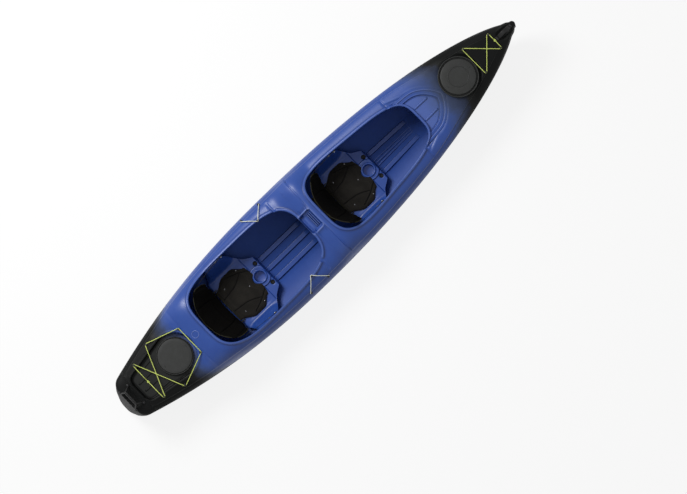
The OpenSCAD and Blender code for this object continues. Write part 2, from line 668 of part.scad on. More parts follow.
// Backrest pad: a crowned cushion that wraps forward at its sides
back_rows = 9;
back_cols = 15;
function back_wide(t) = back_half * mix(0.86, 1, ramp(0, 0.5, t)) * mix(1, 0.98, ramp(0.7, 1, t));
function back_front(t, s) =
    let (edge = min(1, 5 * min(min(t, 1 - t), 1 - abs(s))), round = sqrt(1 - pow(1 - edge, 2)),
        channel = 4 * (1 - ramp(0, 0.1, abs(abs(s) - 0.5))) * ramp(0, 0.2, min(t, 1 - t)))
    back_pad * mix(0.4, 1, round) - channel;
function back_bend(t, s) = back_wrap * mix(0.25, 1, ramp(0, 0.4, t)) * pow(abs(s), 2.2);
module backrest_pad(base) {
    t = [for (i = [0 : back_rows - 1]) i / (back_rows - 1)];
    s = [for (j = [0 : back_cols - 1]) 2 * j / (back_cols - 1) - 1];
    low = plate_low - 12;
    color(BLACK)
    back_place(base)
    slab([for (a = t) [for (b = s) [seat + back_bend(a, b), b * back_wide(a) * 1.02,
        mix(low, back_height, a)]]],
        [for (a = t) [for (b = s)
            [seat + back_bend(a, b) + back_front(a, b), b * back_wide(a), mix(low, back_height, a)]]]);
}
module rear_backrest_pad() { backrest_pad(rear_seat_x); }
module front_backrest_pad() { backrest_pad(front_seat_x); }

// Straps from the backrest's sides to anchors on the coaming's inner wall
strap_thick = 2;
strap_up = 225;
anchor_forward = 235;
anchor_length = 28;
anchor_height = 22;
anchor_depth = 10;
screw_r = 6;
screw_head = 3;
shank_r = 2.4;
function open_half(o, x) =
    let (v = abs(x - o[0] - o[1] / 2) / (o[1] / 2))
    (o[2] - o[3] * (x - o[0])) * pow(1 - pow(v, o[4]), 1 / o[4]);
function open_turn(o, x) = atan2(open_half(o, x + 10) - open_half(o, x - 10), 20);
function back_point(base, x, y, z) =
    let (a = recline(base))
    [base + hinge_back + x * cos(a) - z * sin(a), y, hinge_z + x * sin(a) + z * cos(a)];
function anchor_x(base) = base + anchor_forward;
function anchor_y(base, o) = open_half(o, anchor_x(base));
function anchor_z(base, o) = deck_z(anchor_x(base), anchor_y(base, o)) - coaming_drop / 2;
function strap_path(base, o) =
    let (a = back_point(base, back_wrap * 0.6, back_half + 8, strap_up),
        b = [anchor_x(base) - anchor_length / 2 - 1.1, anchor_y(base, o) - anchor_depth / 2 - 1,
            anchor_z(base, o)])
    [a, mix(a, b, 0.5) + [0, 3, -5], b];
module backrest_straps(base, o) {
    color(BLACK)
    on_both_sides()
    sweep(strap_path(base, o), flat_section(strap_thick, strap_width));
}
module strap_anchors(base, o) {
    color(STEEL)
    on_both_sides()
    translate([anchor_x(base), anchor_y(base, o) - 1, anchor_z(base, o)])
    rotate([0, 0, open_turn(o, anchor_x(base))])
    rotate([90, 0, 0]) {
        translate([-anchor_length / 2, -anchor_height / 2, 0])
        cube([anchor_length, anchor_height, anchor_depth]);
        translate([0, 0, anchor_depth]) cylinder(r = screw_r, h = screw_head, $fn = 32);
        translate([0, 0, -3]) cylinder(r = shank_r, h = 4, $fn = 24);
    }
}
module rear_backrest_straps() { backrest_straps(rear_seat_x, rear_opening); }
module front_backrest_straps() { backrest_straps(front_seat_x, front_opening); }
module rear_strap_anchors() { strap_anchors(rear_seat_x, rear_opening); }
module front_strap_anchors() { strap_anchors(front_seat_x, front_opening); }

// Foot braces: a rail on two bosses along the hull's side, and a pedal whose jaws slide on it
rail_off = 10;
boss_r = 7;
boss_clear = 4;
rail_over = 18;
jaw_clear = 0.4;
jaw_wall = 5;
jaw_lip = 3;
jaw_half = 30;
plate_thick = 9;
rear_rail_rise = 6;
front_rail_rise = 42;
function wall_point(x, z) = [x, side_y(x, z), z];
function rail_start(front) = front ? wall_point(front_rail_x, front_rail_z) : wall_point(rear_rail_x,
    rear_rail_z);
function rail_end(front) =
    let (a = rail_start(front), rise = front ? front_rail_rise : rear_rail_rise,
        far = wall_point(a[0] + rail_span, a[2] + rise),
        run = sqrt(pow(rail_span, 2) - pow(rise, 2) - pow(far[1] - a[1], 2)))
    wall_point(a[0] + run, a[2] + rise);
module rail_place(front) {
    a = rail_start(front);
    d = unit(rail_end(front) - a);
    up = unit([0, 0, 1] - d * d[2]);
    out = cross(up, d);
    multmatrix([[d[0], out[0], up[0], a[0]], [d[1], out[1], up[1], a[1]], [d[2], out[2], up[2], a[2]],
        [0, 0, 0, 1]])
    children();
}
module rail(front) {
    color(BLACK)
    rail_place(front)
    difference() {
        union() {
            translate([-rail_over, -rail_off - rail_depth, -rail_width / 2])
            cube([rail_span + 2 * rail_over, rail_depth, rail_width]);
            for (x = [0, rail_span])
                translate([x, -boss_clear, 0])
                rotate([90, 0, 0])
                cylinder(r = boss_r, h = rail_off - boss_clear + 1, $fn = 48);
        }
        for (x = [0, rail_span])
            translate([x, 0, 0])
            rotate([90, 0, 0])
            cylinder(r = shank_r + 0.05, h = rail_off + rail_depth - 2, $fn = 24);
    }
}
module pedal(front) {
    back = rail_off + rail_depth + jaw_clear;
    half = rail_width / 2 + jaw_clear;
    color(BLACK)
    rail_place(front)
    translate([rail_span / 2, 0, 0]) {
        difference() {
            translate([-jaw_half, -back - jaw_wall, -half - jaw_wall])
            cube([2 * jaw_half, back + jaw_wall - rail_off + jaw_clear + jaw_lip, 2 * (half + jaw_wall)]);
            translate([-jaw_half - 1, -back, -half])
            cube([2 * jaw_half + 2, rail_depth + 2 * jaw_clear, 2 * half]);
            translate([-jaw_half - 1, -back + rail_depth, -half + jaw_lip])
            cube([2 * jaw_half + 2, rail_depth, 2 * (half - jaw_lip)]);
        }
        translate([-plate_thick / 2, -back - jaw_wall - pedal_width, -pedal_height / 2])
        cube([plate_thick, pedal_width, pedal_height]);
        translate([-plate_thick / 2, -back - jaw_wall - 14, -half - jaw_wall])
        cube([jaw_half, 14, 2 * (half + jaw_wall)]);
    }
}
module rear_port_rail() { rail(false); }
module front_port_rail() { rail(true); }
module rear_starboard_rail() { mirror([0, 1, 0]) rail(false); }
module front_starboard_rail() { mirror([0, 1, 0]) rail(true); }
module rear_port_pedal() { pedal(false); }
module front_port_pedal() { pedal(true); }
module rear_starboard_pedal() { mirror([0, 1, 0]) pedal(false); }
module front_starboard_pedal() { mirror([0, 1, 0]) pedal(true); }
module rail_screws() {
    color(STEEL)
    on_both_sides()
    for (front = [false, true], x = [0, rail_span])
        rail_place(front)
        translate([x, wall + screw_head, 0])
        rotate([90, 0, 0]) {
            cylinder(r = screw_r, h = screw_head, $fn = 32);
            cylinder(r = shank_r, h = screw_head + wall + rail_off + 4, $fn = 24);
        }
}

// Deck eyes: buttons that stand square to the deck, with a neck that the cord goes round
eye_r = 9;
neck_r = 3.4;
eye_lift = 0.8;
eye_plate = 3;
function deck_normal(x, y) =
    unit([(deck_z(x - 2, y) - deck_z(x + 2, y)) / 4, (deck_z(x, y - 2) - deck_z(x, y + 2)) / 4, 1]);
module deck_place(x, y) {
    n = deck_normal(x, y);
    a = unit(cross([0, 1, 0], n));
    b = cross(n, a);
    multmatrix([[a[0], b[0], n[0], x], [a[1], b[1], n[1], y], [a[2], b[2], n[2], deck_z(x, y)],
        [0, 0, 0, 1]])
    children();
}
module deck_eye() {
    rotate_extrude($fn = 32)
    polygon([[0, -12], [shank_r, -12], [shank_r, eye_lift], [eye_r, eye_lift],
        [eye_r, eye_lift + eye_plate],
        [neck_r, eye_lift + eye_plate], [neck_r, eye_height - eye_plate],
            [eye_r - 1, eye_height - eye_plate],
        [eye_r - 1, eye_height - 1], [eye_r - 2, eye_height], [0, eye_height]]);
}
bow_eyes = [[bow_x - 397, 118], [bow_x - 193, 67]];
stern_eyes = [[stern_x + 307, 160], [stern_x + 480, 208], [stern_x + 742, 118]];
paddle_eyes = [[-422, 374], [-244, 374]];
paddle_hook_x = -333;
module eyes(list) {
    color(BLACK)
    on_both_sides()
    for (p = list) deck_place(p[0], p[1]) deck_eye();
}
module bow_deck_eyes() { eyes(bow_eyes); }
module stern_deck_eyes() { eyes(stern_eyes); }
module paddle_deck_eyes() { eyes(paddle_eyes); }

// Shock cords: each runs round the necks of its eyes
cord_mid = (eye_height + eye_lift) / 2;
cord_turn = neck_r + cord_r + 1.2;
function at_eye(p, dir, side = 1, lift = 0) =
    let (q = [p[0], p[1] * side], n = deck_normal(q[0], q[1]), t = unit([dir[0], dir[1] * side, 0]))
    [q[0], q[1], deck_z(q[0], q[1])] + n * (cord_mid + lift) + cord_turn * unit(t - n * (t * n));
cross_lift = cord_r + 0.4;
deck_clear = cord_r + 1.5;
function round_eye(p, dirs, side = 1) = [for (d = dirs) at_eye(p, d, side)];
function mirror_dirs(dirs) = [for (k = [len(dirs) - 1 : -1 : 0]) dirs[k]];
function over_deck(a, b, lift, steps = 8) = [
    for (k = [1 : steps - 1])
    let (p = mix(a, b, k / steps), z = max(p[2], deck_z(p[0],
        p[1]) + deck_clear + (lift == 0 ? 0 : cross_lift)))
    [p[0], p[1], z + (k == steps / 2 ? lift : 0)]];
function joined(a, b, lift, steps = 8) = concat(a, over_deck(a[len(a) - 1], b[0], lift, steps));
knot_half = 9;
function bow_route() =
    let (f = bow_eyes[1], a = bow_eyes[0], fore = [[1, 0], [0.7, 0.7], [0, 1], [-0.68, 0.73]],
        aft = [[0.68, 0.73], [0, 1], [-0.7, 0.7], [-1, 0]],
        f1 = round_eye(f, fore), a1 = round_eye(a, aft, -1), a2 = round_eye(a, mirror_dirs(aft)),
        f2 = round_eye(f, mirror_dirs(fore), -1), mid = (f1[0] + f2[3]) / 2 + [0, 0, 4])
    concat([mid + [0, knot_half, 0]], joined(f1, a1, cross_lift), joined(a1, a2, 0),
        joined(a2, f2, -cross_lift),
        f2, [mid - [0, knot_half, 0]]);
function stern_route() =
    let (a = stern_eyes[0], m = stern_eyes[1], f = stern_eyes[2],
        da = [[-1, 0], [-0.7, 0.7], [0, 1], [0.7, 0.7], [0.9, 0.43]],
        dm = [[-0.9, 0.43], [-0.7, 0.7], [0, 1], [0.33, 0.94]], df = [[0.33, 0.94], [0.7, 0.7], [1, 0]],
        a1 = round_eye(a, da), m1 = round_eye(m, dm, -1), f1 = round_eye(f, df, -1),
        f2 = round_eye(f, mirror_dirs(df)), m2 = round_eye(m, mirror_dirs(dm)),
        a2 = round_eye(a, mirror_dirs(da), -1), mid = (a1[0] + a2[4]) / 2 + [0, 0, 4])
    concat([mid + [0, knot_half, 0]], joined(a1, m1, cross_lift), joined(m1, f1, 0), joined(f1, f2, 0),
        joined(f2, m2, 0), joined(m2, a2, -cross_lift), a2, [mid - [0, knot_half, 0]]);
function hook_y() = open_half(rear_opening, paddle_hook_x);
function hook_z() = deck_z(paddle_hook_x, hook_y()) + coaming_lip;
hook_post = 3;
hook_turn = hook_post + cord_r + 1.6;
function paddle_route() =
    let (h = [paddle_hook_x, hook_y() + 3, hook_z() + 8],
        turn = [[0.3, 1], [-0.7, 0.7], [-1, 0], [-0.68, -0.73]],
        e1 = round_eye(paddle_eyes[0], turn), e2 = round_eye(paddle_eyes[1],
            [for (t = mirror_dirs(turn)) [-t[0], t[1]]]),
        via = [30, 26, -1])
    concat(e1, [h + [-via[0], via[1], via[2]], h + hook_turn * [-0.68, -0.73, 0], h + [0, -hook_turn, 0],
        h + hook_turn * [0.68, -0.73, 0], h + via], e2);
module bow_bungee() { color(LIME) sweep(bow_route(), round_section(cord_r)); }
module stern_bungee() { color(LIME) sweep(stern_route(), round_section(cord_r)); }
module port_paddle_bungee() { color("#d8e8b0") sweep(paddle_route(), round_section(cord_r)); }
module starboard_paddle_bungee() { mirror([0, 1, 0]) port_paddle_bungee(); }

// Paddle hooks: clips over the coaming lip, with a post for the cord
hook_width = 16;
module paddle_hooks() {
    color(BLACK)
    on_both_sides()
    translate([paddle_hook_x, hook_y(), hook_z()])
    rotate([0, 0, open_turn(rear_opening, paddle_hook_x)]) {
        translate([-hook_width / 2, -4.2, -22]) cube([hook_width, 3, 22 + 0.8 + 3]);
        translate([-hook_width / 2, -4.2, 0.8]) cube([hook_width, 16, 3]);
        translate([0, 3, 3]) cylinder(r = hook_post, h = 12, $fn = 24);
        translate([0, 3, 12.5]) cylinder(r = hook_post + 3, h = 2.5, $fn = 24);
    }
}

// Carry handles: an arched strap at the bow, a grip on four legs at the stern
bow_strap_w = 22;
bow_strap_t = 7;
handle_lift = bow_strap_t / 2 + 2.4;
handle_foot = 16;
bow_ends = [bow_handle_x - bow_handle_length / 2, bow_handle_x + bow_handle_length / 2];
function bow_handle_path() =
    let (a = [bow_ends[0], 0, deck_z(bow_ends[0], 0) + handle_lift],
        b = [bow_ends[1], 0, deck_z(bow_ends[1], 0) + handle_lift])
    concat([a], [for (k = [0 : 8]) mix(a + [handle_foot, 0, 0], b - [handle_foot, 0, 0], k / 8)
        + [0, 0, bow_handle_height * pow(sin(180 * k / 8), 0.8)]], [b]);
module bow_handle() {
    color(BLACK)
    sweep(bow_handle_path(), flat_section(bow_strap_w, bow_strap_t));
}
grip_r = 12;
leg_r = 7;
leg_spread = 40;
foot_lift = leg_r + 1.5;
function stern_foot(side, end) =
    let (x = stern_handle_x + end * leg_spread, y = side * stern_handle_half) [x, y,
        deck_z(x, y) + foot_lift];
function grip_end(side) =
    [stern_handle_x, side * (stern_handle_half - 26), crown_stern + stern_handle_height - grip_r];
module ball(p, r) { translate(p) sphere(r = r, $fn = 8); }
module stern_handle() {
    color(BLACK) {
        hull() {
            ball(grip_end(1), grip_r);
            ball(grip_end(-1), grip_r);
        }
        for (side = [-1, 1], end = [-1, 1]) {
            hull() {
                ball(grip_end(side), leg_r);
                ball(stern_foot(side, end), leg_r);
            }
            hull() {
                ball(stern_foot(side, end), leg_r);
                ball(stern_foot(side, end) + [0, side * 9, -1], leg_r - 1);
            }
        }
    }
}
module handle_screws() {
    color(STEEL) {
        for (k = [0, 1])
            translate([bow_ends[k] + (k == 0 ? 8 : -8), 0,
                deck_z(bow_ends[k], 0) + handle_lift + bow_strap_t / 2]) {
                cylinder(r = screw_r, h = screw_head, $fn = 32);
                translate([0, 0, -22]) cylinder(r = shank_r, h = 23, $fn = 24);
            }
        for (side = [-1, 1], end = [-1, 1])
            translate(stern_foot(side, end) + [0, side * 8, leg_r - 1.5]) {
                cylinder(r = screw_r - 1, h = screw_head, $fn = 32);
                translate([0, 0, -28]) cylinder(r = shank_r, h = 29, $fn = 24);
            }
    }
}

// Foam: a bulkhead behind the rear cockpit and a block in the bow, cut to the inside of the shell
foam_clear = 0.95;
foam_inset = wall + foam_clear;
bulkhead_x = rear_cockpit_x - 130;
bulkhead_thick = 40;
foam_block_x = bow_hatch_x + bow_cover_r + 80;
foam_block_length = 70;
deck_sink = 7;
function foam_point(x, level) =
    let (u = outer_x(x), n = bilge(u), fore = pow(max(0, 1 - (bow_x - u) / 500), 2),
        p = hull_point(u + forefoot * pow(sin(90 * level / hull_levels), 8 / n) * fore, level, foam_inset))
    [x, p[1], p[2] + foam_clear];
function foam_ring(x) =
    let (deck = plain_station(outer_x(x), foam_inset + deck_sink),
        hull = [for (l = [0 : hull_levels]) foam_point(x, l)])
    concat([for (j = [deck_cols - 1 : -1 : 3]) [x, -deck[j][1], deck[j][2]]],
        [for (j = [4 : deck_cols - 1]) [x, deck[j][1], deck[j][2]]],
        hull, mirrored([for (l = [hull_levels - 1 : -1 : 0]) hull[l]]));
module foam(x, length) {
    near = foam_ring(x);
    far = foam_ring(x + length);
    n = len(near);
    color(FOAM)
    polyhedron(concat(near, far), concat([[for (k = [n - 1 : -1 : 0]) k]], [[for (k = [0 : n - 1]) n + k]],
        [for (k = [0 : n - 1]) let (b = (k + 1) % n) each [[k, b, n + k], [b, n + b, n + k]]]));
}
module stern_bulkhead() { foam(bulkhead_x, bulkhead_thick); }
module bow_foam_block() { foam(foam_block_x, foam_block_length); }

hull_shell();
deck_shell();
bow_hatch_rim();
bow_hatch_cover();
stern_hatch_rim();
stern_hatch_cover();
rear_seat_pan();
front_seat_pan();
rear_seat_pad();
front_seat_pad();
rear_pad_rivets();
front_pad_rivets();
rear_hinge_brackets();
front_hinge_brackets();
rear_hinge_pins();
front_hinge_pins();
rear_backrest_frame();
front_backrest_frame();
rear_backrest_pad();
front_backrest_pad();
rear_backrest_straps();
front_backrest_straps();
rear_strap_anchors();
front_strap_anchors();
rear_port_rail();
rear_starboard_rail();
front_port_rail();
front_starboard_rail();
rear_port_pedal();
rear_starboard_pedal();
front_port_pedal();
front_starboard_pedal();
rail_screws();
bow_bungee();
stern_bungee();
port_paddle_bungee();
starboard_paddle_bungee();
bow_deck_eyes();
stern_deck_eyes();
paddle_deck_eyes();
paddle_hooks();
bow_handle();
stern_handle();
handle_screws();
stern_bulkhead();
bow_foam_block();
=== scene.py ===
"""Two-seat moulded kayak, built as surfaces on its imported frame."""

import math

import bmesh
import bpy
import numpy as np
from mathutils import Matrix, Vector


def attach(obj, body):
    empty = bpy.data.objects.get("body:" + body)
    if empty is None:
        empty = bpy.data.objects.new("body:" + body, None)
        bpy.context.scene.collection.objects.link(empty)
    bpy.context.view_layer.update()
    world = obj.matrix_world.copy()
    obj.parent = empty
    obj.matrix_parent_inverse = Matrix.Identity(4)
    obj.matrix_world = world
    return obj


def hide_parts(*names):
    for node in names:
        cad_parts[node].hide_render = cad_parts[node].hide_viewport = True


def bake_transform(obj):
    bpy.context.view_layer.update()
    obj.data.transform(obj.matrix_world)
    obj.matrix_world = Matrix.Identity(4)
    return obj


bl_info = {
    "name": "Two-seat Kayak",
    "version": (1, 0, 0),
    "blender": (4, 5, 0),
    "location": "View3D > Sidebar > Kayak",
    "description": "Builds a moulded kayak with seats, hatches, cords and foot braces on its packed frame",
    "category": "Add Mesh",
}

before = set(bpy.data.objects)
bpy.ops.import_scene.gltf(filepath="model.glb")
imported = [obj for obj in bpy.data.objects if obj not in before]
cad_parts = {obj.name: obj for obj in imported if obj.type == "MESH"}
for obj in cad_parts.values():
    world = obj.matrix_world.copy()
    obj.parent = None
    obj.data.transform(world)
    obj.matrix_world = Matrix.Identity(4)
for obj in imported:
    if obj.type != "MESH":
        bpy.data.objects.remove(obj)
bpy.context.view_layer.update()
MM = 0.001

# Lines of the boat in millimetres, the same values as the solids have
LENGTH = 4115.0
HALF_BEAM = 405.5
WALL = 5.0
STERN = -LENGTH / 2
BOW = LENGTH / 2
BEAM_X = STERN + 0.436 * LENGTH
DECK_AFT = STERN + 85.0
SEAM_LOW_X = STERN + 0.39 * LENGTH
REAR_OPEN = dict(aft=-1155.0, length=1050.0, half=306.0, taper=0.01, power=3.8, lip=10.0, width=18.0,
                 drop=30.0)
FRONT_OPEN = dict(aft=64.0, length=1000.0, half=302.0, taper=0.09, power=4.0, lip=10.0, width=18.0, drop=30.0)
STERN_HATCH_X = STERN + 576.0
BOW_HATCH_X = BOW - 569.0
STERN_COVER_R = 142.0
BOW_COVER_R = 154.0
STERN_HOLE = dict(aft=STERN_HATCH_X - 121.0, length=242.0, half=121.0, taper=0.0, power=2.0, lip=0.0,
                  width=3.0, drop=10.0)
BOW_HOLE = dict(aft=BOW_HATCH_X - 133.0, length=266.0, half=133.0, taper=0.0, power=2.0, lip=0.0, width=3.0,
                drop=10.0)
TANK_FLOOR = 342.0
REAR_SEAT = -955.0
FRONT_SEAT = 205.0
STERN_HANDLE_X = DECK_AFT + 44.0
BOW_HANDLE_X = BOW - 95.0


def ramp(a, b, v):
    """A smooth step from 0 at a to 1 at b: 3t² - 2t³."""
    t = np.clip((v - a) / (b - a), 0.0, 1.0)
    return t * t * (3 - 2 * t)


def mix(a, b, w):
    """The point a share w of the way from a to b."""
    return a + (b - a) * w


def bump(x, peak, rise, fall):
    """A hump: a smooth rise to 1 at the peak, then a smooth fall."""
    return np.where(x < peak, ramp(peak - rise, peak, x), 1 - ramp(peak, peak + fall, x))


def plan_half(x):
    """Half beam seen from above: a power curve to the stem, and one aft that rounds into the transom."""
    u = np.clip((x - BEAM_X) / (BOW - BEAM_X), 0, 1)
    fore = np.maximum(14.0, HALF_BEAM * np.power(np.maximum(0, 1 - u ** 2.2), 0.7))
    fore = fore + 14.0 * ramp(BOW - 75, BOW - 15, x)
    v = np.clip((BEAM_X - x) / (BEAM_X - STERN), 0, 1.1)
    k = np.clip(1 - (x - DECK_AFT) / 60.0, 0, 1)
    aft = HALF_BEAM * (1 - 0.663 * v ** 2.18) - 60.0 * (1 - np.sqrt(1 - k * k))
    return np.where(x > BEAM_X, fore, aft)


def seam_z(x):
    """Height of the parting seam: lowest a little aft of the middle, rising to both ends."""
    d = np.clip((SEAM_LOW_X - x) / (SEAM_LOW_X - STERN), 0, 1)
    t = np.clip((x - SEAM_LOW_X) / (BOW - SEAM_LOW_X), 0, 1)
    return np.where(x < SEAM_LOW_X, 230 + 138 * d ** 2.65, 230 + 144 * ramp(0, 1, t ** 1.25))


def crown_base(x):
    """Height of the deck's ridge without its humps."""
    d = np.clip((SEAM_LOW_X - x) / (SEAM_LOW_X - STERN), 0, 1)
    t = np.clip((x - SEAM_LOW_X) / (BOW - SEAM_LOW_X), 0, 1)
    return np.where(x < SEAM_LOW_X, 362 + 12 * d ** 2, 362 + 75 * t ** 1.6)


def crown_z(x):
    """Height of the deck's ridge, with a hump behind each cockpit."""
    rear = 104 * bump(x, REAR_OPEN["aft"] - 8, 340, 290)
    middle = 74 * bump(x, FRONT_OPEN["aft"] - 35, 190, 200)
    return crown_base(x) + rear + middle


def keel_z(x):
    """Keel line: level amidships, with rocker to both ends."""
    d = np.maximum(0, np.abs(x + 38) - 225)
    return 85 * (d / (LENGTH / 2 - 225)) ** 1.3


def bilge(x):
    """Exponent of the hull's section: squarer amidships, rounder at the ends."""
    return mix(3.0, 2.1, (np.abs(x) / BOW) ** 3)


def inner_x(x):
    """Stations of the inner faces, drawn in at transom and stem."""
    return mix(DECK_AFT + WALL, BOW - 4 * WALL, (x - DECK_AFT) / (BOW - DECK_AFT))


def outer_x(x):
    """The outer station whose inner face lies at x."""
    return mix(DECK_AFT, BOW, (x - DECK_AFT - WALL) / (BOW - DECK_AFT - 5 * WALL))


def floor_z(x, y):
    """Height of the hull's inner floor: the section's lower half, cut level along the keel."""
    u = outer_x(x)
    v = np.minimum(1, np.abs(y) / (plan_half(u) - WALL))
    n = bilge(u)
    depth = seam_z(u) - keel_z(u) - WALL + 4
    return np.maximum(keel_z(u) + WALL, seam_z(u) - depth * np.power(1 - v ** n, 1 / n))


def tank_inside(x, y):
    """Distance inside the tank well's outline: a trapezoid with round corners aft, a circle round the hatch
    ahead."""
    aft = STERN + 200
    wide = mix(112.0, STERN_COVER_R + 34, np.clip((x - aft) / (STERN_HATCH_X - aft), 0, 1))
    a = wide - np.abs(y)
    b = x - aft
    corner = 48 - np.hypot(np.maximum(0, 48 - a), np.maximum(0, 48 - b))
    fore = STERN_COVER_R + 34 - np.hypot(x - STERN_HATCH_X, y)
    return np.where(x > STERN_HATCH_X, fore, np.minimum(np.minimum(a, b), corner))


DASH_X = FRONT_OPEN["aft"] + FRONT_OPEN["length"] + 18
DASH_LENGTH = 190.0
DASH_HALF = 158.0
TRAY_HALF = 150.0
# Drops of the tray's ledge and wall, how proud its edge lies, and where its hollow in the deck fades out aft
TRAY_LEDGE = 4.1
TRAY_WALL = 9.0
TRAY_PROUD = 0.3
TRAY_FADE = (930, 990)


def dash_weight(x, y):
    """1 on the dash tray's floor in the solid: a pointed arch ahead of the front cockpit."""
    t = (x - DASH_X) / DASH_LENGTH
    half = DASH_HALF * np.power(np.maximum(0, 1 - t * t), 0.75)
    return ramp(-8, 12, np.minimum(x - DASH_X, half - np.abs(y)))


def dash_inside(x, y):
    """Distance inside the tray's arch: the implicit curve over its slope; aft of the tray its sides flare
    out."""
    t = np.maximum(0, (x - DASH_X) / DASH_LENGTH)
    flare = np.abs(y) / (TRAY_HALF + 0.3 * np.maximum(0, DASH_X - x))
    slope = np.hypot(2 * t / DASH_LENGTH, 4 / 3 * np.cbrt(flare) / TRAY_HALF)
    return (1 - flare ** (4 / 3) - t * t) / np.maximum(slope, 0.004)


def front_out(x, y):
    """About how far a point lies ahead of the front opening's edge: the outline's power sum, scaled to its
    length."""
    o = FRONT_OPEN
    half = o["length"] / 2
    u = np.abs(x - o["aft"] - half) / half
    v = np.abs(y) / (o["half"] - o["taper"] * (x - o["aft"]))
    return half * (np.power(u ** o["power"] + v ** o["power"], 1 / o["power"]) - 1)


CONSOLE_X = REAR_OPEN["aft"] + REAR_OPEN["length"] + 4


def console_inside(x, y):
    """Distance inside the pocket between the cockpits, a box with round corners."""
    a = 80 - np.abs(y)
    b = np.minimum(x - CONSOLE_X, CONSOLE_X + 102 - x)
    return np.minimum(np.minimum(a, b), 16 - np.hypot(np.maximum(0, 16 - a), np.maximum(0, 16 - b)))


def console_weight(x, y):
    """1 on the floor of the pocket in the solid."""
    return ramp(-8, 14, np.minimum(np.minimum(x - CONSOLE_X, CONSOLE_X + 102 - x), 80 - np.abs(y)))


def oval_weight(x, y, centre, a, b):
    """1 in the middle of an oval finger recess, fading to 0 past its edge."""
    return ramp(1.15, 0.5, np.hypot((x - centre) / a, y / b))


BOW_HATCH_Z = float(crown_base(np.array(BOW_HATCH_X))) - 6


def arch_z(x, y, inset=0.0):
    """Height of the deck without its recesses: a squared arch between the seams, level round the bow
    hatch."""
    low = seam_z(x) + 0.4
    v = np.minimum(1, np.abs(y) / (plan_half(x) - inset))
    z = low + (crown_z(x) - inset - low) * np.sqrt(1 - v ** 5.1)
    flat = ramp(BOW_COVER_R + 34, BOW_COVER_R + 4, np.hypot(x - BOW_HATCH_X, y))
    return mix(z, BOW_HATCH_Z - inset, flat)


def finger_dips(x, y):
    """Depth of the finger recesses under the two carry handles."""
    stern = oval_weight(x, y, STERN_HANDLE_X, 36, 78)
    return 16 * (stern + oval_weight(x, y, BOW_HANDLE_X, 62, 30))


def deck_z(x, y, inset=0.0):
    """Height of the solid's deck: the arch, with the well and the trays let into it by soft steps; its
    inner face passes lower under the tray."""
    z = arch_z(x, y, inset)
    z = np.minimum(z, mix(z, TANK_FLOOR - inset, ramp(-14, 14, tank_inside(x, y))))
    dash = 12 * dash_weight(x, y)
    if inset > 0:
        dash = 19 * ramp(-62, -26, dash_inside(x, y)) * ramp(*TRAY_FADE, x)
    return z - dash - 28 * console_weight(x, y) - finger_dips(x, y)


def crease_in(x, y):
    """Distance inside the crease along the shoulder, which runs further from the edge towards the bow."""
    return plan_half(x) - np.abs(y) - mix(36.0, 62.0, ramp(900, 1450, x))


NOTCHES = (-197.0, 951.0)


def notch_groove(x, y):
    """Drain grooves that run from the coaming's notches out over the deck."""
    groove = sum(np.exp(-(((x - n) / 8.0) ** 4)) for n in NOTCHES)
    return groove * ramp(205, 235, np.abs(y)) * ramp(352, 325, np.abs(y))


def deck_face(x, y):
    """The deck's outer face: the arch with crisp steps into the well and trays, their raised rims and the
    crease."""
    look = bpy.context.scene.kayak_shell
    crease = look.crease / MM
    rim = look.rim / MM
    along = ramp(STERN + 110, STERN + 300, x) * ramp(BOW - 120, BOW - 420, x)
    shoulder = ramp(2.5, -3.5, crease_in(x, y)) * ramp(0, 9, plan_half(x) - np.abs(y))
    z = arch_z(x, y) - along * crease * shoulder
    well = tank_inside(x, y)
    z = np.minimum(z, mix(z, TANK_FLOOR, ramp(-3, 8, well)))
    z = z + rim * 0.6 * ramp(-20, -15, well) * ramp(-3, -8, well) * ramp(STERN + 790, STERN + 700, x)
    # The tray piece lies in a softer hollow of the deck
    tray = dash_inside(x, y)
    hollow = 6.9 * ramp(-52, -36, tray) + 14 * ramp(-30, -14, tray)
    z = z - hollow * ramp(16, 26, front_out(x, y)) * ramp(*TRAY_FADE, x)
    pocket = console_inside(x, y)
    z = z + rim * ramp(-16, -11, pocket) * ramp(-2, -6, pocket) - 28 * ramp(-3, 6, pocket)
    grips = 16 * (oval_weight(x, y, STERN_HANDLE_X, 36, 78) + oval_weight(x, y, BOW_HANDLE_X, 66, 40))
    return z - 6 * notch_groove(x, y) - grips


def hexcolor(code):
    """An sRGB hex value as linear red, green, blue and alpha."""
    c = np.array([int(code[i:i + 2], 16) / 255 for i in (1, 3, 5)])
    lin = np.where(c <= 0.04045, c / 12.92, ((c + 0.055) / 1.055) ** 2.4)
    return (float(lin[0]), float(lin[1]), float(lin[2]), 1.0)


def grid_quads(rows, cols, start=0, wrap=False):
    """Corner numbers of the faces of a grid of points, closed round its columns where wrap is set."""
    i = np.arange(rows - 1)[:, None]
    j = np.arange(cols if wrap else cols - 1)[None, :]
    k = (j + 1) % cols
    a = start + i * cols + j
    b = start + i * cols + k
    return np.stack([a, b, b + cols, a + cols], axis=-1).reshape(-1, 4)


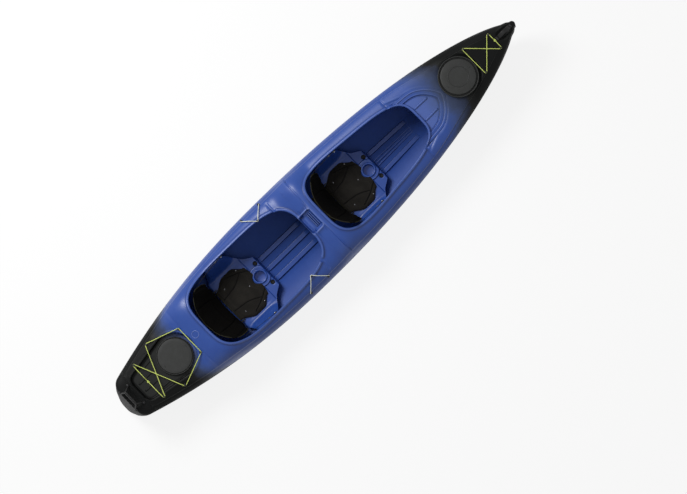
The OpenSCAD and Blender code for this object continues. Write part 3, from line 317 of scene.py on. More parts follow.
def make_piece(name, verts, quads, material, body="boat", nodes=(), uv=None, sharp=None,
               marks=None):
    """Puts points and four-cornered faces into a mesh, closes and orients it, and rides it on a body."""
    mesh = bpy.data.meshes.new(name)
    verts = np.asarray(verts, float).reshape(-1, 3) * MM
    quads = np.asarray(quads, int).reshape(-1, 4)
    mesh.vertices.add(len(verts))
    mesh.vertices.foreach_set("co", verts.ravel())
    mesh.loops.add(quads.size)
    mesh.loops.foreach_set("vertex_index", quads.ravel())
    mesh.polygons.add(len(quads))
    mesh.polygons.foreach_set("loop_start", np.arange(len(quads)) * 4)
    for mark, values in (marks or {}).items():
        mesh.attributes.new(mark, "FLOAT", "POINT").data.foreach_set("value",
                                                                     np.asarray(values, float).ravel())
    if uv is not None:
        layer = mesh.uv_layers.new(name="UVMap")
        layer.data.foreach_set("uv", np.asarray(uv, float).ravel())
    mesh.update(calc_edges=True)
    mesh.validate()
    bm = bmesh.new()
    bm.from_mesh(mesh)
    bmesh.ops.remove_doubles(bm, verts=bm.verts, dist=2e-6)
    bmesh.ops.dissolve_degenerate(bm, edges=bm.edges, dist=1e-7)
    bmesh.ops.holes_fill(bm, edges=[e for e in bm.edges if e.is_boundary], sides=0)
    bmesh.ops.recalc_face_normals(bm, faces=bm.faces)
    bm.to_mesh(mesh)
    bm.free()
    mesh.shade_smooth()
    if sharp is not None:
        mesh.set_sharp_from_angle(angle=math.radians(sharp))
    obj = bpy.data.objects.new(name, mesh)
    bpy.context.scene.collection.objects.link(obj)
    mesh.materials.append(material)
    if body:
        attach(obj, body)
    if nodes:
        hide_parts(*nodes)
    return obj


def unit(v):
    """Vectors scaled to length 1."""
    return v / np.maximum(np.linalg.norm(v, axis=-1, keepdims=True), 1e-12)


def carried(path, section, up=(0.0, 0.0, 1.0), grow=None):
    """A section carried along a path: each ring stands square to the path, with its width kept level."""
    path = np.asarray(path, float)
    d = unit(np.gradient(path, axis=0))
    side = unit(np.cross(np.asarray(up, float), d))
    top = np.cross(d, side)
    s = np.asarray(section, float)
    size = np.ones(len(path)) if grow is None else np.asarray(grow, float)
    spread = side[:, None, :] * s[None, :, :1] + top[:, None, :] * s[None, :, 1:]
    rings = path[:, None, :] + size[:, None, None] * spread
    return rings.reshape(-1, 3), grid_quads(len(path), len(s), wrap=True)


def carried_uv(path, count):
    """UV for a carried section: u once round it, v along it in millimetres."""
    path = np.asarray(path, float)
    run = np.concatenate([[0], np.cumsum(np.linalg.norm(np.diff(path, axis=0), axis=1))])
    i = np.arange(len(path) - 1)[:, None]
    j = np.arange(count)[None, :]
    u = np.stack([j + 0 * i, j + 1 + 0 * i, j + 1 + 0 * i, j + 0 * i], axis=-1) / count
    v = np.stack([run[i] + 0 * j, run[i] + 0 * j, run[i + 1] + 0 * j, run[i + 1] + 0 * j], axis=-1)
    return np.stack([u, v], axis=-1).reshape(-1, 2)


def ring_of(r, count=12, squash=1.0):
    """A round or oval section."""
    a = np.arange(count) * 2 * np.pi / count
    return np.stack([r * np.cos(a), r * squash * np.sin(a)], axis=-1)


def bar_of(w, t, r=1.5, count=4):
    """A flat section with rounded corners, w wide and t thick."""
    a = np.linspace(0, np.pi / 2, count)
    corners = []
    for k, (sx, sy) in enumerate(((1, 1), (-1, 1), (-1, -1), (1, -1))):
        c = np.stack([np.cos(a + k * np.pi / 2), np.sin(a + k * np.pi / 2)], axis=-1) * r
        corners.append(c + np.array([sx * (w / 2 - r), sy * (t / 2 - r)]))
    return np.concatenate(corners)


def rounded(points, times=2):
    """A path with its corners cut again and again, so that it bends smoothly, its ends kept."""
    p = np.asarray(points, float)
    for _ in range(times):
        a = mix(p[:-1], p[1:], 0.25)
        b = mix(p[:-1], p[1:], 0.75)
        p = np.concatenate([p[:1], np.stack([a, b], axis=1).reshape(-1, p.shape[1])[1:-1], p[-1:]])
    return p


def turned(profile, count=128, centre=(0.0, 0.0, 0.0), wave=None):
    """A profile of radius and height turned round a vertical axis."""
    p = np.asarray(profile, float)
    a = np.arange(count) * 2 * np.pi / count
    r = p[:, None, 0] + (0 if wave is None else wave(a[None, :], p[:, None, 0], p[:, None, 1]))
    pts = np.stack([r * np.cos(a), r * np.sin(a), p[:, None, 1] + 0 * a], axis=-1) + np.asarray(centre)
    return pts.reshape(-1, 3), grid_quads(len(p), count, wrap=True)


def joined(parts):
    """Several sets of points and faces as one."""
    verts = []
    quads = []
    start = 0
    for v, q in parts:
        verts.append(np.asarray(v).reshape(-1, 3))
        quads.append(np.asarray(q) + start)
        start += len(verts[-1])
    return np.concatenate(verts), np.concatenate(quads)


def mirrored(part):
    """The same shape on the other side of the boat."""
    v, q = part
    return np.asarray(v).reshape(-1, 3) * np.array([1, -1, 1]), np.asarray(q)[:, ::-1]


# The pocket's ribs, as distances from the stern
POCKET_RIBS = (2020, 2034, 2048)


def painted_light_lines(x, y):
    """Painted light along lines: a painted highlight along the pocket's rim, painted shade at the foot of the
    walls and between the pocket's ribs, and a little paler on the floors of the pocket and the tank well."""
    pocket = console_inside(x, y)
    well = tank_inside(x, y)
    along = x - STERN
    ribs = ramp(POCKET_RIBS[0] - 12, POCKET_RIBS[0] - 7, along) * ramp(70, 63, np.abs(y))
    ribs = ribs * ramp(POCKET_RIBS[-1] + 12, POCKET_RIBS[-1] + 7, along)
    pale = np.exp(-(((pocket + 8) / 5) ** 2)) + 0.5 * ramp(10, 16, pocket) + 0.5 * ramp(12, 24, well)
    return pale - 1.5 * ribs - np.exp(-(((pocket - 3) / 4) ** 2)) - 0.8 * np.exp(-(((well - 4) / 7) ** 2))


def edge_turn(grid, gain=2.4):
    """How sharply a grid of points bends at each point along its rows: above 0 on ridges, below 0 in
    valleys, at most 1."""
    du = np.gradient(grid, axis=0)
    dv = np.gradient(grid, axis=1)
    normal = unit(np.cross(du, dv))
    normal = normal * np.where(normal[..., 2:] < 0, -1.0, 1.0)
    bend = -np.diff(unit(np.diff(grid, axis=1)), axis=1)
    total = np.zeros(grid.shape[:2])
    total[:, 1:-1] = (bend * normal[:, 1:-1]).sum(axis=-1)
    total[:, 1:-1] = 0.25 * total[:, :-2] + 0.5 * total[:, 1:-1] + 0.25 * total[:, 2:]
    total[1:-1] = 0.25 * total[:-2] + 0.5 * total[1:-1] + 0.25 * total[2:]
    return np.clip(gain * total, -1, 1)


def rib_on(path, surface, width, height, flat=0.0, steps=13, sink=2.0, fade=None):
    """A rib that follows a path over a surface and dies away at its ends: round, or flat over a share of
    its width."""
    path = np.asarray(path, float)
    d = unit(np.gradient(path, axis=0))
    across = np.stack([-d[:, 1], d[:, 0]], axis=-1)
    run = np.concatenate([[0], np.cumsum(np.linalg.norm(np.diff(path, axis=0), axis=1))])
    aft, fore = fade or (width, width)
    end = np.sqrt(np.clip(np.minimum(run / aft, (run[-1] - run) / fore), 0, 1))
    v = np.linspace(-1, 1, steps)
    xy = path[:, None, :] + across[:, None, :] * v[None, :, None] * width / 2
    round_off = np.maximum(0, np.abs(v) - flat) / (1 - flat)
    rise = height * np.sqrt(1 - np.minimum(1, round_off) ** 2)[None, :]
    z = surface(xy[..., 0], xy[..., 1]) + rise * end[:, None]
    z = z - sink * (np.abs(v) > 0.999)[None, :] - sink * (1 - end)[:, None]
    pts = np.concatenate([xy, z[..., None]], axis=-1)
    return pts.reshape(-1, 3), grid_quads(len(path), steps)


def shade(tone, gain):
    """A colour made darker or lighter, still opaque."""
    return tuple(c * gain for c in tone[:3]) + (1.0,)


def add(tree, kind, inputs=(), out=0, **settings):
    """Adds one node with its settings and gives one of its outputs. Inputs are given in order or by key: a
    socket is linked, and any other value is set."""
    node = tree.nodes.new("ShaderNode" + kind)
    for key, value in settings.items():
        setattr(node, key, value)
    for key, value in inputs.items() if isinstance(inputs, dict) else enumerate(inputs):
        if isinstance(value, bpy.types.NodeSocket):
            tree.links.new(value, node.inputs[key])
        else:
            node.inputs[key].default_value = value
    return node.outputs[out]


def new_material(name, **shader):
    """A material with one Principled shader, whose even values are set on its own sockets."""
    mat = bpy.data.materials.new(name)
    mat.use_nodes = True
    tree = mat.node_tree
    tree.nodes.clear()
    out = tree.nodes.new("ShaderNodeOutputMaterial")
    bsdf = tree.nodes.new("ShaderNodeBsdfPrincipled")
    for key, value in shader.items():
        bsdf.inputs[key.replace("_", " ")].default_value = value
    tree.links.new(bsdf.outputs[0], out.inputs[0])
    return mat, tree, bsdf


def moulded_polyethylene(name, fade):
    """Rotomoulded polyethylene: a waxy, slightly pebbled face with a painted highlight on its ridges and
    painted shade in its valleys, and two colours of powder that blend at the ends of the boat through a
    painted sheen."""
    look = bpy.context.scene.kayak_shell
    mat, tree, bsdf = new_material(name, IOR=1.51)
    obj = add(tree, "TexCoord", out="Object")
    cloud = add(tree, "TexNoise", {"Vector": obj, "Scale": 9.0, "Detail": 5.0, "Roughness": 0.6}, out="Fac")
    blue = add(tree, "Mix", {0: cloud, 6: tuple(look.blue), 7: tuple(look.blue_light)}, out=2,
               data_type="RGBA")
    # The "edge" mark carries painted light: above 0 a painted highlight on ridges and rims, below 0 painted
    # shade in valleys and at the foot of walls
    turn = add(tree, "Attribute", out="Fac", attribute_name="edge")
    inner = add(tree, "Attribute", out="Fac", attribute_name="inner")
    # Painted highlight: ridges are mixed towards a pale blue
    ridge = add(tree, "Mix", {0: add(tree, "MapRange", (turn, 0.1, 1.0, 0.0, 0.5)), 6: blue,
                              7: tuple(look.ridge_highlight)}, out=2, data_type="RGBA")
    # Painted shade: valleys are mixed towards a dark blue
    color = add(tree, "Mix", {0: add(tree, "MapRange", (turn, 0.0, -1.0, 0.0, 0.75)), 6: ridge,
                              7: shade(look.blue, 0.25)}, out=2, data_type="RGBA")
    dull = add(tree, "MapRange", (inner, 0.0, 1.0, 0.0, 0.7))
    if fade:
        xyz = add(tree, "SeparateXYZ", {"Vector": obj}).node
        drift = add(tree, "Math", (cloud, 0.12, -0.06), operation="MULTIPLY_ADD")
        low = add(tree, "Math", (xyz.outputs["Z"], -1.3, 0.46), operation="MULTIPLY_ADD")
        place = add(tree, "Math", (xyz.outputs["X"], drift), operation="ADD")
        bow_at = add(tree, "Math", (place, low), operation="ADD")
        stern_at = add(tree, "Math", (place, low), operation="SUBTRACT")
        bow = add(tree, "MapRange", (bow_at, 1.08, 1.44, 0.0, 1.0))
        stern = add(tree, "MapRange", (stern_at, -1.26, -1.54, 0.0, 1.0))
        both = add(tree, "Math", (bow, stern), operation="MAXIMUM")
        grain = add(tree, "TexNoise", {"Vector": obj, "Scale": 1000.0 / 3.0, "Detail": 2.0}, out="Fac")
        soft = add(tree, "Math", (grain, 0.14, -0.07), operation="MULTIPLY_ADD")
        edge = add(tree, "Math", (both, soft), operation="ADD", use_clamp=True)
        outside = add(tree, "MapRange", (inner, 0.0, 1.0, 1.0, 0.0))
        share = add(tree, "Math", (edge, outside), operation="MULTIPLY")
        # Painted sheen: a pale grey-blue band where the blue turns to black
        sheen_slate = add(tree, "Mix", {0: add(tree, "MapRange", (share, 0.05, 0.5, 0.0, 0.8)), 6: color,
                                  7: tuple(look.sheen_slate)}, out=2, data_type="RGBA")
        # Painted shade in the black: valleys of the "edge" mark go darker
        dark = add(tree, "Mix", {0: add(tree, "MapRange", (turn, -1.0, 0.0, 0.15, 1.0)),
                                 6: (0.0, 0.0, 0.0, 1.0), 7: tuple(look.ends)}, out=2, data_type="RGBA")
        # Painted highlight in the black: ridges are mixed towards grey
        pale = add(tree, "Mix", {0: add(tree, "MapRange", (turn, 0.1, 1.0, 0.0, 0.35)), 6: dark,
                                 7: hexcolor("#5C5E5C")}, out=2, data_type="RGBA")
        color = add(tree, "Mix", {0: add(tree, "MapRange", (share, 0.3, 0.8, 0.0, 1.0)), 6: sheen_slate,
                                  7: pale}, out=2, data_type="RGBA")
        # The black powder cures duller than the blue
        dull = add(tree, "Math", (share, dull), operation="MAXIMUM")
    tree.links.new(color, bsdf.inputs["Base Color"])
    tree.links.new(add(tree, "MapRange", (dull, 0.0, 1.0, 0.4, 0.09)), bsdf.inputs["Specular IOR Level"])
    # Pebble of the mould face is about 1.2 mm; it is drawn at 4 mm to show at this range
    pebble = add(tree, "TexNoise", {"Vector": obj, "Scale": 1000.0 / 4.0, "Detail": 3.0}, out="Fac")
    wave = add(tree, "TexNoise", {"Vector": obj, "Scale": 1000.0 / 90.0, "Detail": 1.0}, out="Fac")
    gloss = add(tree, "MapRange", (pebble, 0.3, 0.7, 0.3, 0.42))
    rough = add(tree, "Math", (dull, 0.15, gloss), operation="MULTIPLY_ADD")
    tree.links.new(rough, bsdf.inputs["Roughness"])
    total = add(tree, "Math", (wave, pebble), operation="MULTIPLY")
    relief = add(tree, "Bump", {"Height": total, "Strength": 0.22, "Distance": 0.0006})
    tree.links.new(relief, bsdf.inputs["Normal"])
    return mat


def die_cut_foam_cloth(name, tone, sheen=0.05, gloss=0.15):
    """Knit cloth bonded to foam: dry and near black, with a small knit, rubbed high spots and painted shade
    in its pressed lines."""
    mat, tree, bsdf = new_material(name, Roughness=0.88, Sheen_Weight=sheen, Sheen_Roughness=0.45,
                                   Specular_IOR_Level=gloss)
    obj = add(tree, "TexCoord", out="Object")
    # A knit's rows are about 2 mm apart
    rows = add(tree, "TexWave", {"Vector": obj, "Scale": 150.0}, out="Fac", bands_direction="X")
    cols = add(tree, "TexWave", {"Vector": obj, "Scale": 150.0}, out="Fac", bands_direction="Y")
    ups = add(tree, "TexWave", {"Vector": obj, "Scale": 150.0}, out="Fac", bands_direction="Z")
    two = add(tree, "Math", (rows, cols), operation="ADD")
    knit = add(tree, "Math", (two, ups), operation="ADD")
    wear = add(tree, "TexNoise", {"Vector": obj, "Scale": 1000.0 / 60.0, "Detail": 4.0}, out="Fac")
    lift = add(tree, "Math", (knit, wear), operation="MULTIPLY")
    share = add(tree, "MapRange", (lift, 0.2, 1.4, 0.0, 1.0))
    color = add(tree, "Mix", {0: share, 6: shade(tone, 0.7), 7: shade(tone, 1.5)}, out=2, data_type="RGBA")
    # Painted shade: the pressed lines turn near black
    line = add(tree, "Attribute", out="Fac", attribute_name="pressed")
    deep = add(tree, "Mix", {0: line, 6: color, 7: shade(tone, 0.06)}, out=2, data_type="RGBA")
    tree.links.new(deep, bsdf.inputs["Base Color"])
    relief = add(tree, "Bump", {"Height": knit, "Strength": 0.5, "Distance": 0.0006})
    tree.links.new(relief, bsdf.inputs["Normal"])
    return mat


def uv_parts(tree):
    """The u and v of a piece's own UV."""
    uv = add(tree, "UVMap", uv_map="UVMap")
    parts = add(tree, "SeparateXYZ", {"Vector": uv}).node
    return parts.outputs["X"], parts.outputs["Y"]


def woven_webbing(name, tone):
    """Woven polypropylene webbing: a herringbone of ribs 2.5 mm apart along the strap, with a slight
    gloss."""
    mat, tree, bsdf = new_material(name, Roughness=0.62, Specular_IOR_Level=0.35)
    u, v = uv_parts(tree)
    chevron = add(tree, "Math", (u, 0.06), operation="PINGPONG")
    slant = add(tree, "Math", (chevron, 60.0), operation="MULTIPLY")
    turn = add(tree, "Math", (v, 2.513, slant), operation="MULTIPLY_ADD")
    rib = add(tree, "Math", (turn,), operation="SINE")
    share = add(tree, "MapRange", (rib, -1.0, 1.0, 0.0, 1.0))
    color = add(tree, "Mix", {0: share, 6: shade(tone, 0.55), 7: shade(tone, 1.3)}, out=2, data_type="RGBA")
    tree.links.new(color, bsdf.inputs["Base Color"])
    relief = add(tree, "Bump", {"Height": share, "Strength": 0.6, "Distance": 0.0005})
    tree.links.new(relief, bsdf.inputs["Normal"])
    return mat


def braided_shock_cord(name, tone, tracer):
    """Braided polyester over rubber strands: crossing spirals of yarn, some of them dark."""
    mat, tree, bsdf = new_material(name, Roughness=0.6, Sheen_Weight=0.15, Specular_IOR_Level=0.35)
    u, v = uv_parts(tree)
    # Yarns are about 1.5 mm wide, eight each way round the cord, and climb once round in 26 mm
    eight_turns = 50.265
    climb = add(tree, "Math", (v, 1.933), operation="MULTIPLY")
    right = add(tree, "Math", (u, eight_turns, climb), operation="MULTIPLY_ADD")
    around = add(tree, "Math", (u, eight_turns), operation="MULTIPLY")
    left = add(tree, "Math", (around, climb), operation="SUBTRACT")
    a = add(tree, "Math", (right,), operation="SINE")
    b = add(tree, "Math", (left,), operation="SINE")
    braid = add(tree, "Math", (a, b), operation="MULTIPLY")
    # Every fourth yarn carries a dark thread
    slow = add(tree, "Math", (v, 0.4833), operation="MULTIPLY")
    two_turns = 12.566
    quarter = add(tree, "Math", (u, two_turns, slow), operation="MULTIPLY_ADD")
    thread = add(tree, "Math", (quarter,), operation="SINE")
    fleck = add(tree, "Math", (thread, braid), operation="MULTIPLY")
    dark = add(tree, "MapRange", (fleck, 0.42, 0.6, 0.0, 0.85))
    base = add(tree, "Mix", {0: add(tree, "MapRange", (braid, -1.0, 1.0, 0.0, 1.0)),
                             6: shade(tone, 0.72),
                             7: tuple(min(1.0, c * 1.1) for c in tone[:3]) + (1.0,)}, out=2, data_type="RGBA")
    color = add(tree, "Mix", {0: dark, 6: base, 7: tracer}, out=2, data_type="RGBA")
    tree.links.new(color, bsdf.inputs["Base Color"])
    relief = add(tree, "Bump", {"Height": braid, "Strength": 0.5, "Distance": 0.0004})
    tree.links.new(relief, bsdf.inputs["Normal"])
    return mat


def pressed_metal(name, tone):
    """Pressed metal, stainless steel or aluminium: bright, with faint handling marks that change its
    gloss."""
    mat, tree, bsdf = new_material(name, Base_Color=tone, Metallic=1.0)
    obj = add(tree, "TexCoord", out="Object")
    marks = add(tree, "TexNoise", {"Vector": obj, "Scale": 1000.0 / 2.5, "Detail": 4.0}, out="Fac")
    tree.links.new(add(tree, "MapRange", (marks, 0.3, 0.7, 0.2, 0.36)), bsdf.inputs["Roughness"])
    relief = add(tree, "Bump", {"Height": marks, "Strength": 0.08, "Distance": 0.0002})
    tree.links.new(relief, bsdf.inputs["Normal"])
    return mat


def grained_black(name, tone, gloss, grain_mm, relief_mm, dust):
    """Black moulded plastic or rubber: a fine grain from the mould, with pale dust that gathers in
    patches."""
    mat, tree, bsdf = new_material(name, IOR=1.5, Specular_IOR_Level=0.28)
    obj = add(tree, "TexCoord", out="Object")
    grain = add(tree, "TexNoise", {"Vector": obj, "Scale": 1000.0 / grain_mm, "Detail": 3.0}, out="Fac")
    patch = add(tree, "TexNoise", {"Vector": obj, "Scale": 1000.0 / 45.0, "Detail": 5.0}, out="Fac")
    share = add(tree, "MapRange", (patch, 0.42, 0.75, 0.0, dust))
    color = add(tree, "Mix", {0: share, 6: tone, 7: hexcolor("#6E7074")}, out=2, data_type="RGBA")
    tree.links.new(color, bsdf.inputs["Base Color"])
    tree.links.new(add(tree, "MapRange", (grain, 0.3, 0.7, gloss - 0.06, gloss + 0.08)),
                   bsdf.inputs["Roughness"])
    relief = add(tree, "Bump", {"Height": grain, "Strength": 0.35, "Distance": relief_mm * MM})
    tree.links.new(relief, bsdf.inputs["Normal"])
    return mat


def closed_cell_foam(name):
    """Sawn closed-cell foam: small open cells on the cut face, pale walls and painted shade in the pits."""
    mat, tree, bsdf = new_material(name, Roughness=0.92, Specular_IOR_Level=0.2)
    obj = add(tree, "TexCoord", out="Object")
    cells = add(tree, "TexVoronoi", {"Vector": obj, "Scale": 320.0}, out="Distance")
    # Painted shade: the pits between the cell walls are darker
    color = add(tree, "Mix", {0: add(tree, "MapRange", (cells, 0.0, 0.7, 0.0, 1.0)), 6: hexcolor("#3C3F43"),
                              7: hexcolor("#676B70")}, out=2, data_type="RGBA")
    tree.links.new(color, bsdf.inputs["Base Color"])
    relief = add(tree, "Bump", {"Height": cells, "Strength": 0.4, "Distance": 0.0008})
    tree.links.new(relief, bsdf.inputs["Normal"])
    return mat


def seen_directly(tree, path):
    """1 for rays that show the camera something, also in mirrors and through glass; 0 for light on its
    way."""
    first = add(tree, "Math", (path.outputs["Is Camera Ray"], path.outputs["Is Glossy Ray"]),
                operation="MAXIMUM")
    return add(tree, "Math", (first, path.outputs["Is Transmission Ray"]), operation="MAXIMUM")


def studio_white(name):
    """Studio floor: matt paint, white to the camera and mirrors, which see it lifted towards white with
    shadows on it, and grey to the light that it throws back, so that the shaded side stays dark."""
    mat, tree, bsdf = new_material(name, Roughness=0.9, Specular_IOR_Level=0.1)
    path = add(tree, "LightPath").node
    color = add(tree, "Mix", {0: path.outputs["Is Diffuse Ray"], 6: hexcolor("#F6F6F6"),
                              7: hexcolor("#8E8E8E")}, out=2, data_type="RGBA")
    tree.links.new(color, bsdf.inputs["Base Color"])
    seen = seen_directly(tree, path)
    share = add(tree, "Math", (seen, 0.85), operation="MULTIPLY")
    glow = add(tree, "Emission", {"Color": (1.0, 1.0, 1.0, 1.0), "Strength": 1.0})
    both = add(tree, "MixShader", (share, bsdf.outputs[0], glow))
    tree.links.new(both, tree.nodes["Material Output"].inputs[0])
    return mat


FINISH = {}


def finish(name):
    """The material of that name, made on first use."""
    if name in FINISH:
        return FINISH[name]
    soft = bpy.context.scene.kayak_soft
    cords = bpy.context.scene.kayak_cords
    black = hexcolor("#1A1B1D")
    makers = {
        "rotomoulded_polyethylene": lambda n: moulded_polyethylene(n, True),
        "moulded_seat_polyethylene": lambda n: moulded_polyethylene(n, False),
        "die_cut_foam_cloth": lambda n: die_cut_foam_cloth(n, tuple(soft.pad)),
        "brushed_back_cloth": lambda n: die_cut_foam_cloth(n, shade(soft.pad, 0.16), 0.0, 0.04),
        "binding_cloth": lambda n: die_cut_foam_cloth(n, hexcolor("#2B2A20"), 0.0, 0.1),
        "woven_webbing": lambda n: woven_webbing(n, black),
        "braided_lime_cord": lambda n: braided_shock_cord(n, tuple(cords.lime), hexcolor("#2E3A22")),
        "braided_pale_cord": lambda n: braided_shock_cord(n, tuple(cords.pale), hexcolor("#6F7C58")),
        "pressed_stainless": lambda n: pressed_metal(n, hexcolor("#C9CBCD")),
        "drawn_aluminium": lambda n: pressed_metal(n, hexcolor("#77777A")),
        "blackened_steel": lambda n: pressed_metal(n, hexcolor("#3A3A3C")),
        "glass_filled_nylon": lambda n: grained_black(n, black, 0.42, 1.6, 0.25, 0.1),
        "handle_nylon": lambda n: grained_black(n, hexcolor("#0B0B0C"), 0.36, 1.6, 0.25, 0.0),
        "grey_acetal": lambda n: grained_black(n, hexcolor("#45474A"), 0.42, 1.6, 0.2, 0.06),
        # Near black, for the painted shade in the drain holes and in the hatch moats
        "grommet_rubber": lambda n: grained_black(n, hexcolor("#050505"), 0.7, 1.6, 0.15, 0.0),
        "hatch_rubber": lambda n: grained_black(n, hexcolor("#262726"), 0.52, 2.2, 0.3, 0.04),
        "closed_cell_foam": closed_cell_foam,
        "studio_white": studio_white,
    }
    FINISH[name] = makers[name](name)
    return FINISH[name]


def hull_sheet(inset, rows=220, levels=56):
    """One face of the hull: each section is a superellipse quarter from seam to keel, raked at both ends."""
    t = np.linspace(0, 1, rows)
    x = mix(DECK_AFT, BOW, t - 0.08 * np.sin(2 * np.pi * t))[:, None]
    a = (np.pi / 2) * np.linspace(0, 1, levels + 1)[None, :]
    n = bilge(x)
    low = keel_z(x) + inset
    depth = seam_z(x) - low + 4
    z = np.maximum(low, seam_z(x) - depth * np.sin(a) ** (2 / n))
    share = (seam_z(x) - z) / (seam_z(x) - low)
    aft = np.maximum(0, 1 - (x - DECK_AFT) / 600) ** 2
    fore = np.maximum(0, 1 - (BOW - x) / 500) ** 2
    station = inner_x(x) if inset > 0 else x
    px = station - 85 * share * aft - 120 * share ** 4 * fore
    py = (plan_half(x) - inset) * np.maximum(0, np.cos(a)) ** (2 / n)
    port = np.stack([px, py, z], axis=-1)
    board = port[:, -2::-1] * np.array([1, -1, 1])
    return np.concatenate([port, board], axis=1)


NOSE = 14.0


def nose_rows(sheet, reach, steps=9):
    """Rows that round off the stem: half an ellipse in plan, added past the last row."""
    a = (np.pi / 2) * np.arange(1, steps + 1) / steps
    last = sheet[-1][None]
    extra = np.repeat(last, steps, axis=0)
    extra[..., 0] += reach * np.sin(a)[:, None]
    extra[..., 1] *= np.maximum(np.cos(a), 0.02)[:, None]
    return np.concatenate([sheet, extra])


def build_hull():
    """The hull: an outer and an inner face joined along the seam."""
    outer = nose_rows(hull_sheet(0.0), NOSE)
    inner = hull_sheet(WALL, rows=len(outer))
    rows, cols = outer.shape[:2]
    n = rows * cols
    i = np.arange(rows - 1) * cols
    last = cols - 1
    rims = [np.stack([i, i + cols, i + cols + n, i + n], axis=-1),
            np.stack([i + last, i + last + n, i + cols + last + n, i + cols + last], axis=-1)]
    verts = np.concatenate([outer.reshape(-1, 3), inner.reshape(-1, 3)])
    half = cols // 2
    k = np.arange(half)
    ends = []
    for base in (0, n, (rows - 1) * cols, n + (rows - 1) * cols):
        ends.append(base + np.stack([k, k + 1, last - k - 1, last - k], axis=-1))
    top = [[0, last, last + n, n]]
    far = (rows - 1) * cols
    top.append([far, far + n, far + last + n, far + last])
    quads = np.concatenate([grid_quads(rows, cols), grid_quads(rows, cols, n)[:, ::-1], *rims, *ends,
                            np.array(top)])
    return make_piece("hull", verts, quads, finish("rotomoulded_polyethylene"),
                      nodes=("hull_shell",), sharp=50, marks={"inner": np.arange(2 * n) >= n})


def even_angles(o, count):
    """Angles of an opening's half outline at even steps along its length, closer together at the notches."""
    a = np.linspace(0, np.pi, 6001)
    x, y = outline_at(o, a)
    step = np.hypot(np.diff(x), np.diff(y))
    near = sum(np.exp(-(((x[1:] - n) / 16.0) ** 2)) for n in NOTCHES) * (y[1:] > 150)
    run = np.concatenate([[0], np.cumsum(step * (1 + 3 * near))])
    return np.interp(np.linspace(0, run[-1], count + 1), run, a)


def outline_at(o, a):
    """Half outline of an opening: a superellipse that narrows forward."""
    c = np.cos(a)
    s = np.maximum(0, np.sin(a))
    x = o["aft"] + o["length"] / 2 - o["length"] / 2 * np.sign(c) * np.abs(c) ** (2 / o["power"])
    return x, (o["half"] - o["taper"] * (x - o["aft"])) * np.where(s < 1e-9, 0, s ** (2 / o["power"]))


def outline_normal(o, a):
    """Directions square to the outline, out of the opening."""
    x, y = outline_at(o, a)
    dx = np.gradient(x)
    dy = np.gradient(y)
    m = unit(np.stack([-dy, dx], axis=-1))
    m[0] = (-1, 0)
    m[-1] = (1, 0)
    return m


def gathered(px, py, gx, gy, count):
    """Shares of the way from the inner edge to the seam, gathered where the deck has a step or turns down."""
    s = np.linspace(0, 1, 500)[None, :]
    x = mix(px[:, None], gx[:, None], s)
    y = mix(py[:, None], gy[:, None], s)
    step = np.minimum(np.abs(tank_inside(x, y) + 3), np.abs(console_inside(x, y) + 3))
    need = 1 + 9 * np.exp(-((step / 11) ** 2)) + 6 * np.exp(-((crease_in(x, y) / 8) ** 2)) + 3 * s ** 6
    run = np.cumsum(need, axis=1)
    run = (run - run[:, :1]) / (run[:, -1:] - run[:, :1])
    want = np.arange(1, count + 1) / count
    return np.stack([np.interp(want, row, s[0]) for row in run])


def across_deck(px, py, x, inset, count):
    """Points from the inner edge of a station out to the seam."""
    gx = inner_x(x) if inset > 0 else x
    gy = plan_half(x) - inset
    if inset > 0:
        s = np.sin((np.pi / 2) * np.arange(1, count + 1) / count)[None, :]
    else:
        s = gathered(px, py, gx, gy, count)
    qx = mix(px[:, None], gx[:, None], s)
    qy = mix(py[:, None], gy[:, None], s)
    z = deck_z(qx, qy, inset) if inset > 0 else deck_face(qx, qy)
    z[:, -1] = seam_z(x) + 0.4
    return np.stack([qx, qy, z], axis=-1)


# Columns across the deck: many on the outer face, few on the inner one
ACROSS = 50
ACROSS_INNER = 12
LIP_STEPS = 12


def plain_run(a, b, count, inset):
    """Stations without an opening: from the centreline out."""
    x = np.linspace(a, b, count)
    xi = inner_x(x) if inset > 0 else x
    zero = np.zeros_like(xi)
    z = deck_z(xi, zero, inset) if inset > 0 else deck_face(xi, zero)
    first = np.repeat(np.stack([xi, zero, z], axis=-1)[:, None, :], LIP_STEPS, axis=1)
    return np.concatenate([first, across_deck(xi, zero, x, inset, ACROSS_INNER if inset > 0 else ACROSS)],
                          axis=1)


def lip_profile(o):
    """The coaming's section as distances out from the opening and heights over the deck: wall, round lip,
    fillet."""
    r = min(5.0, o["lip"] * 0.5 + 1)
    w = o["width"]
    h = o["lip"]
    out = np.array([0, 0, 0, 0.3 * r, r, w - r, w - 0.3 * r, w, w + 1.5, w + 5, w + 11, w + 20])
    up = np.array([-o["drop"], -o["drop"] * 0.45, h - r, h - 0.3 * r, h, h, h - 0.3 * r, h - r, 2.8, 1.0,
                   0.2, 0.0])
    return out, np.minimum(up, h)


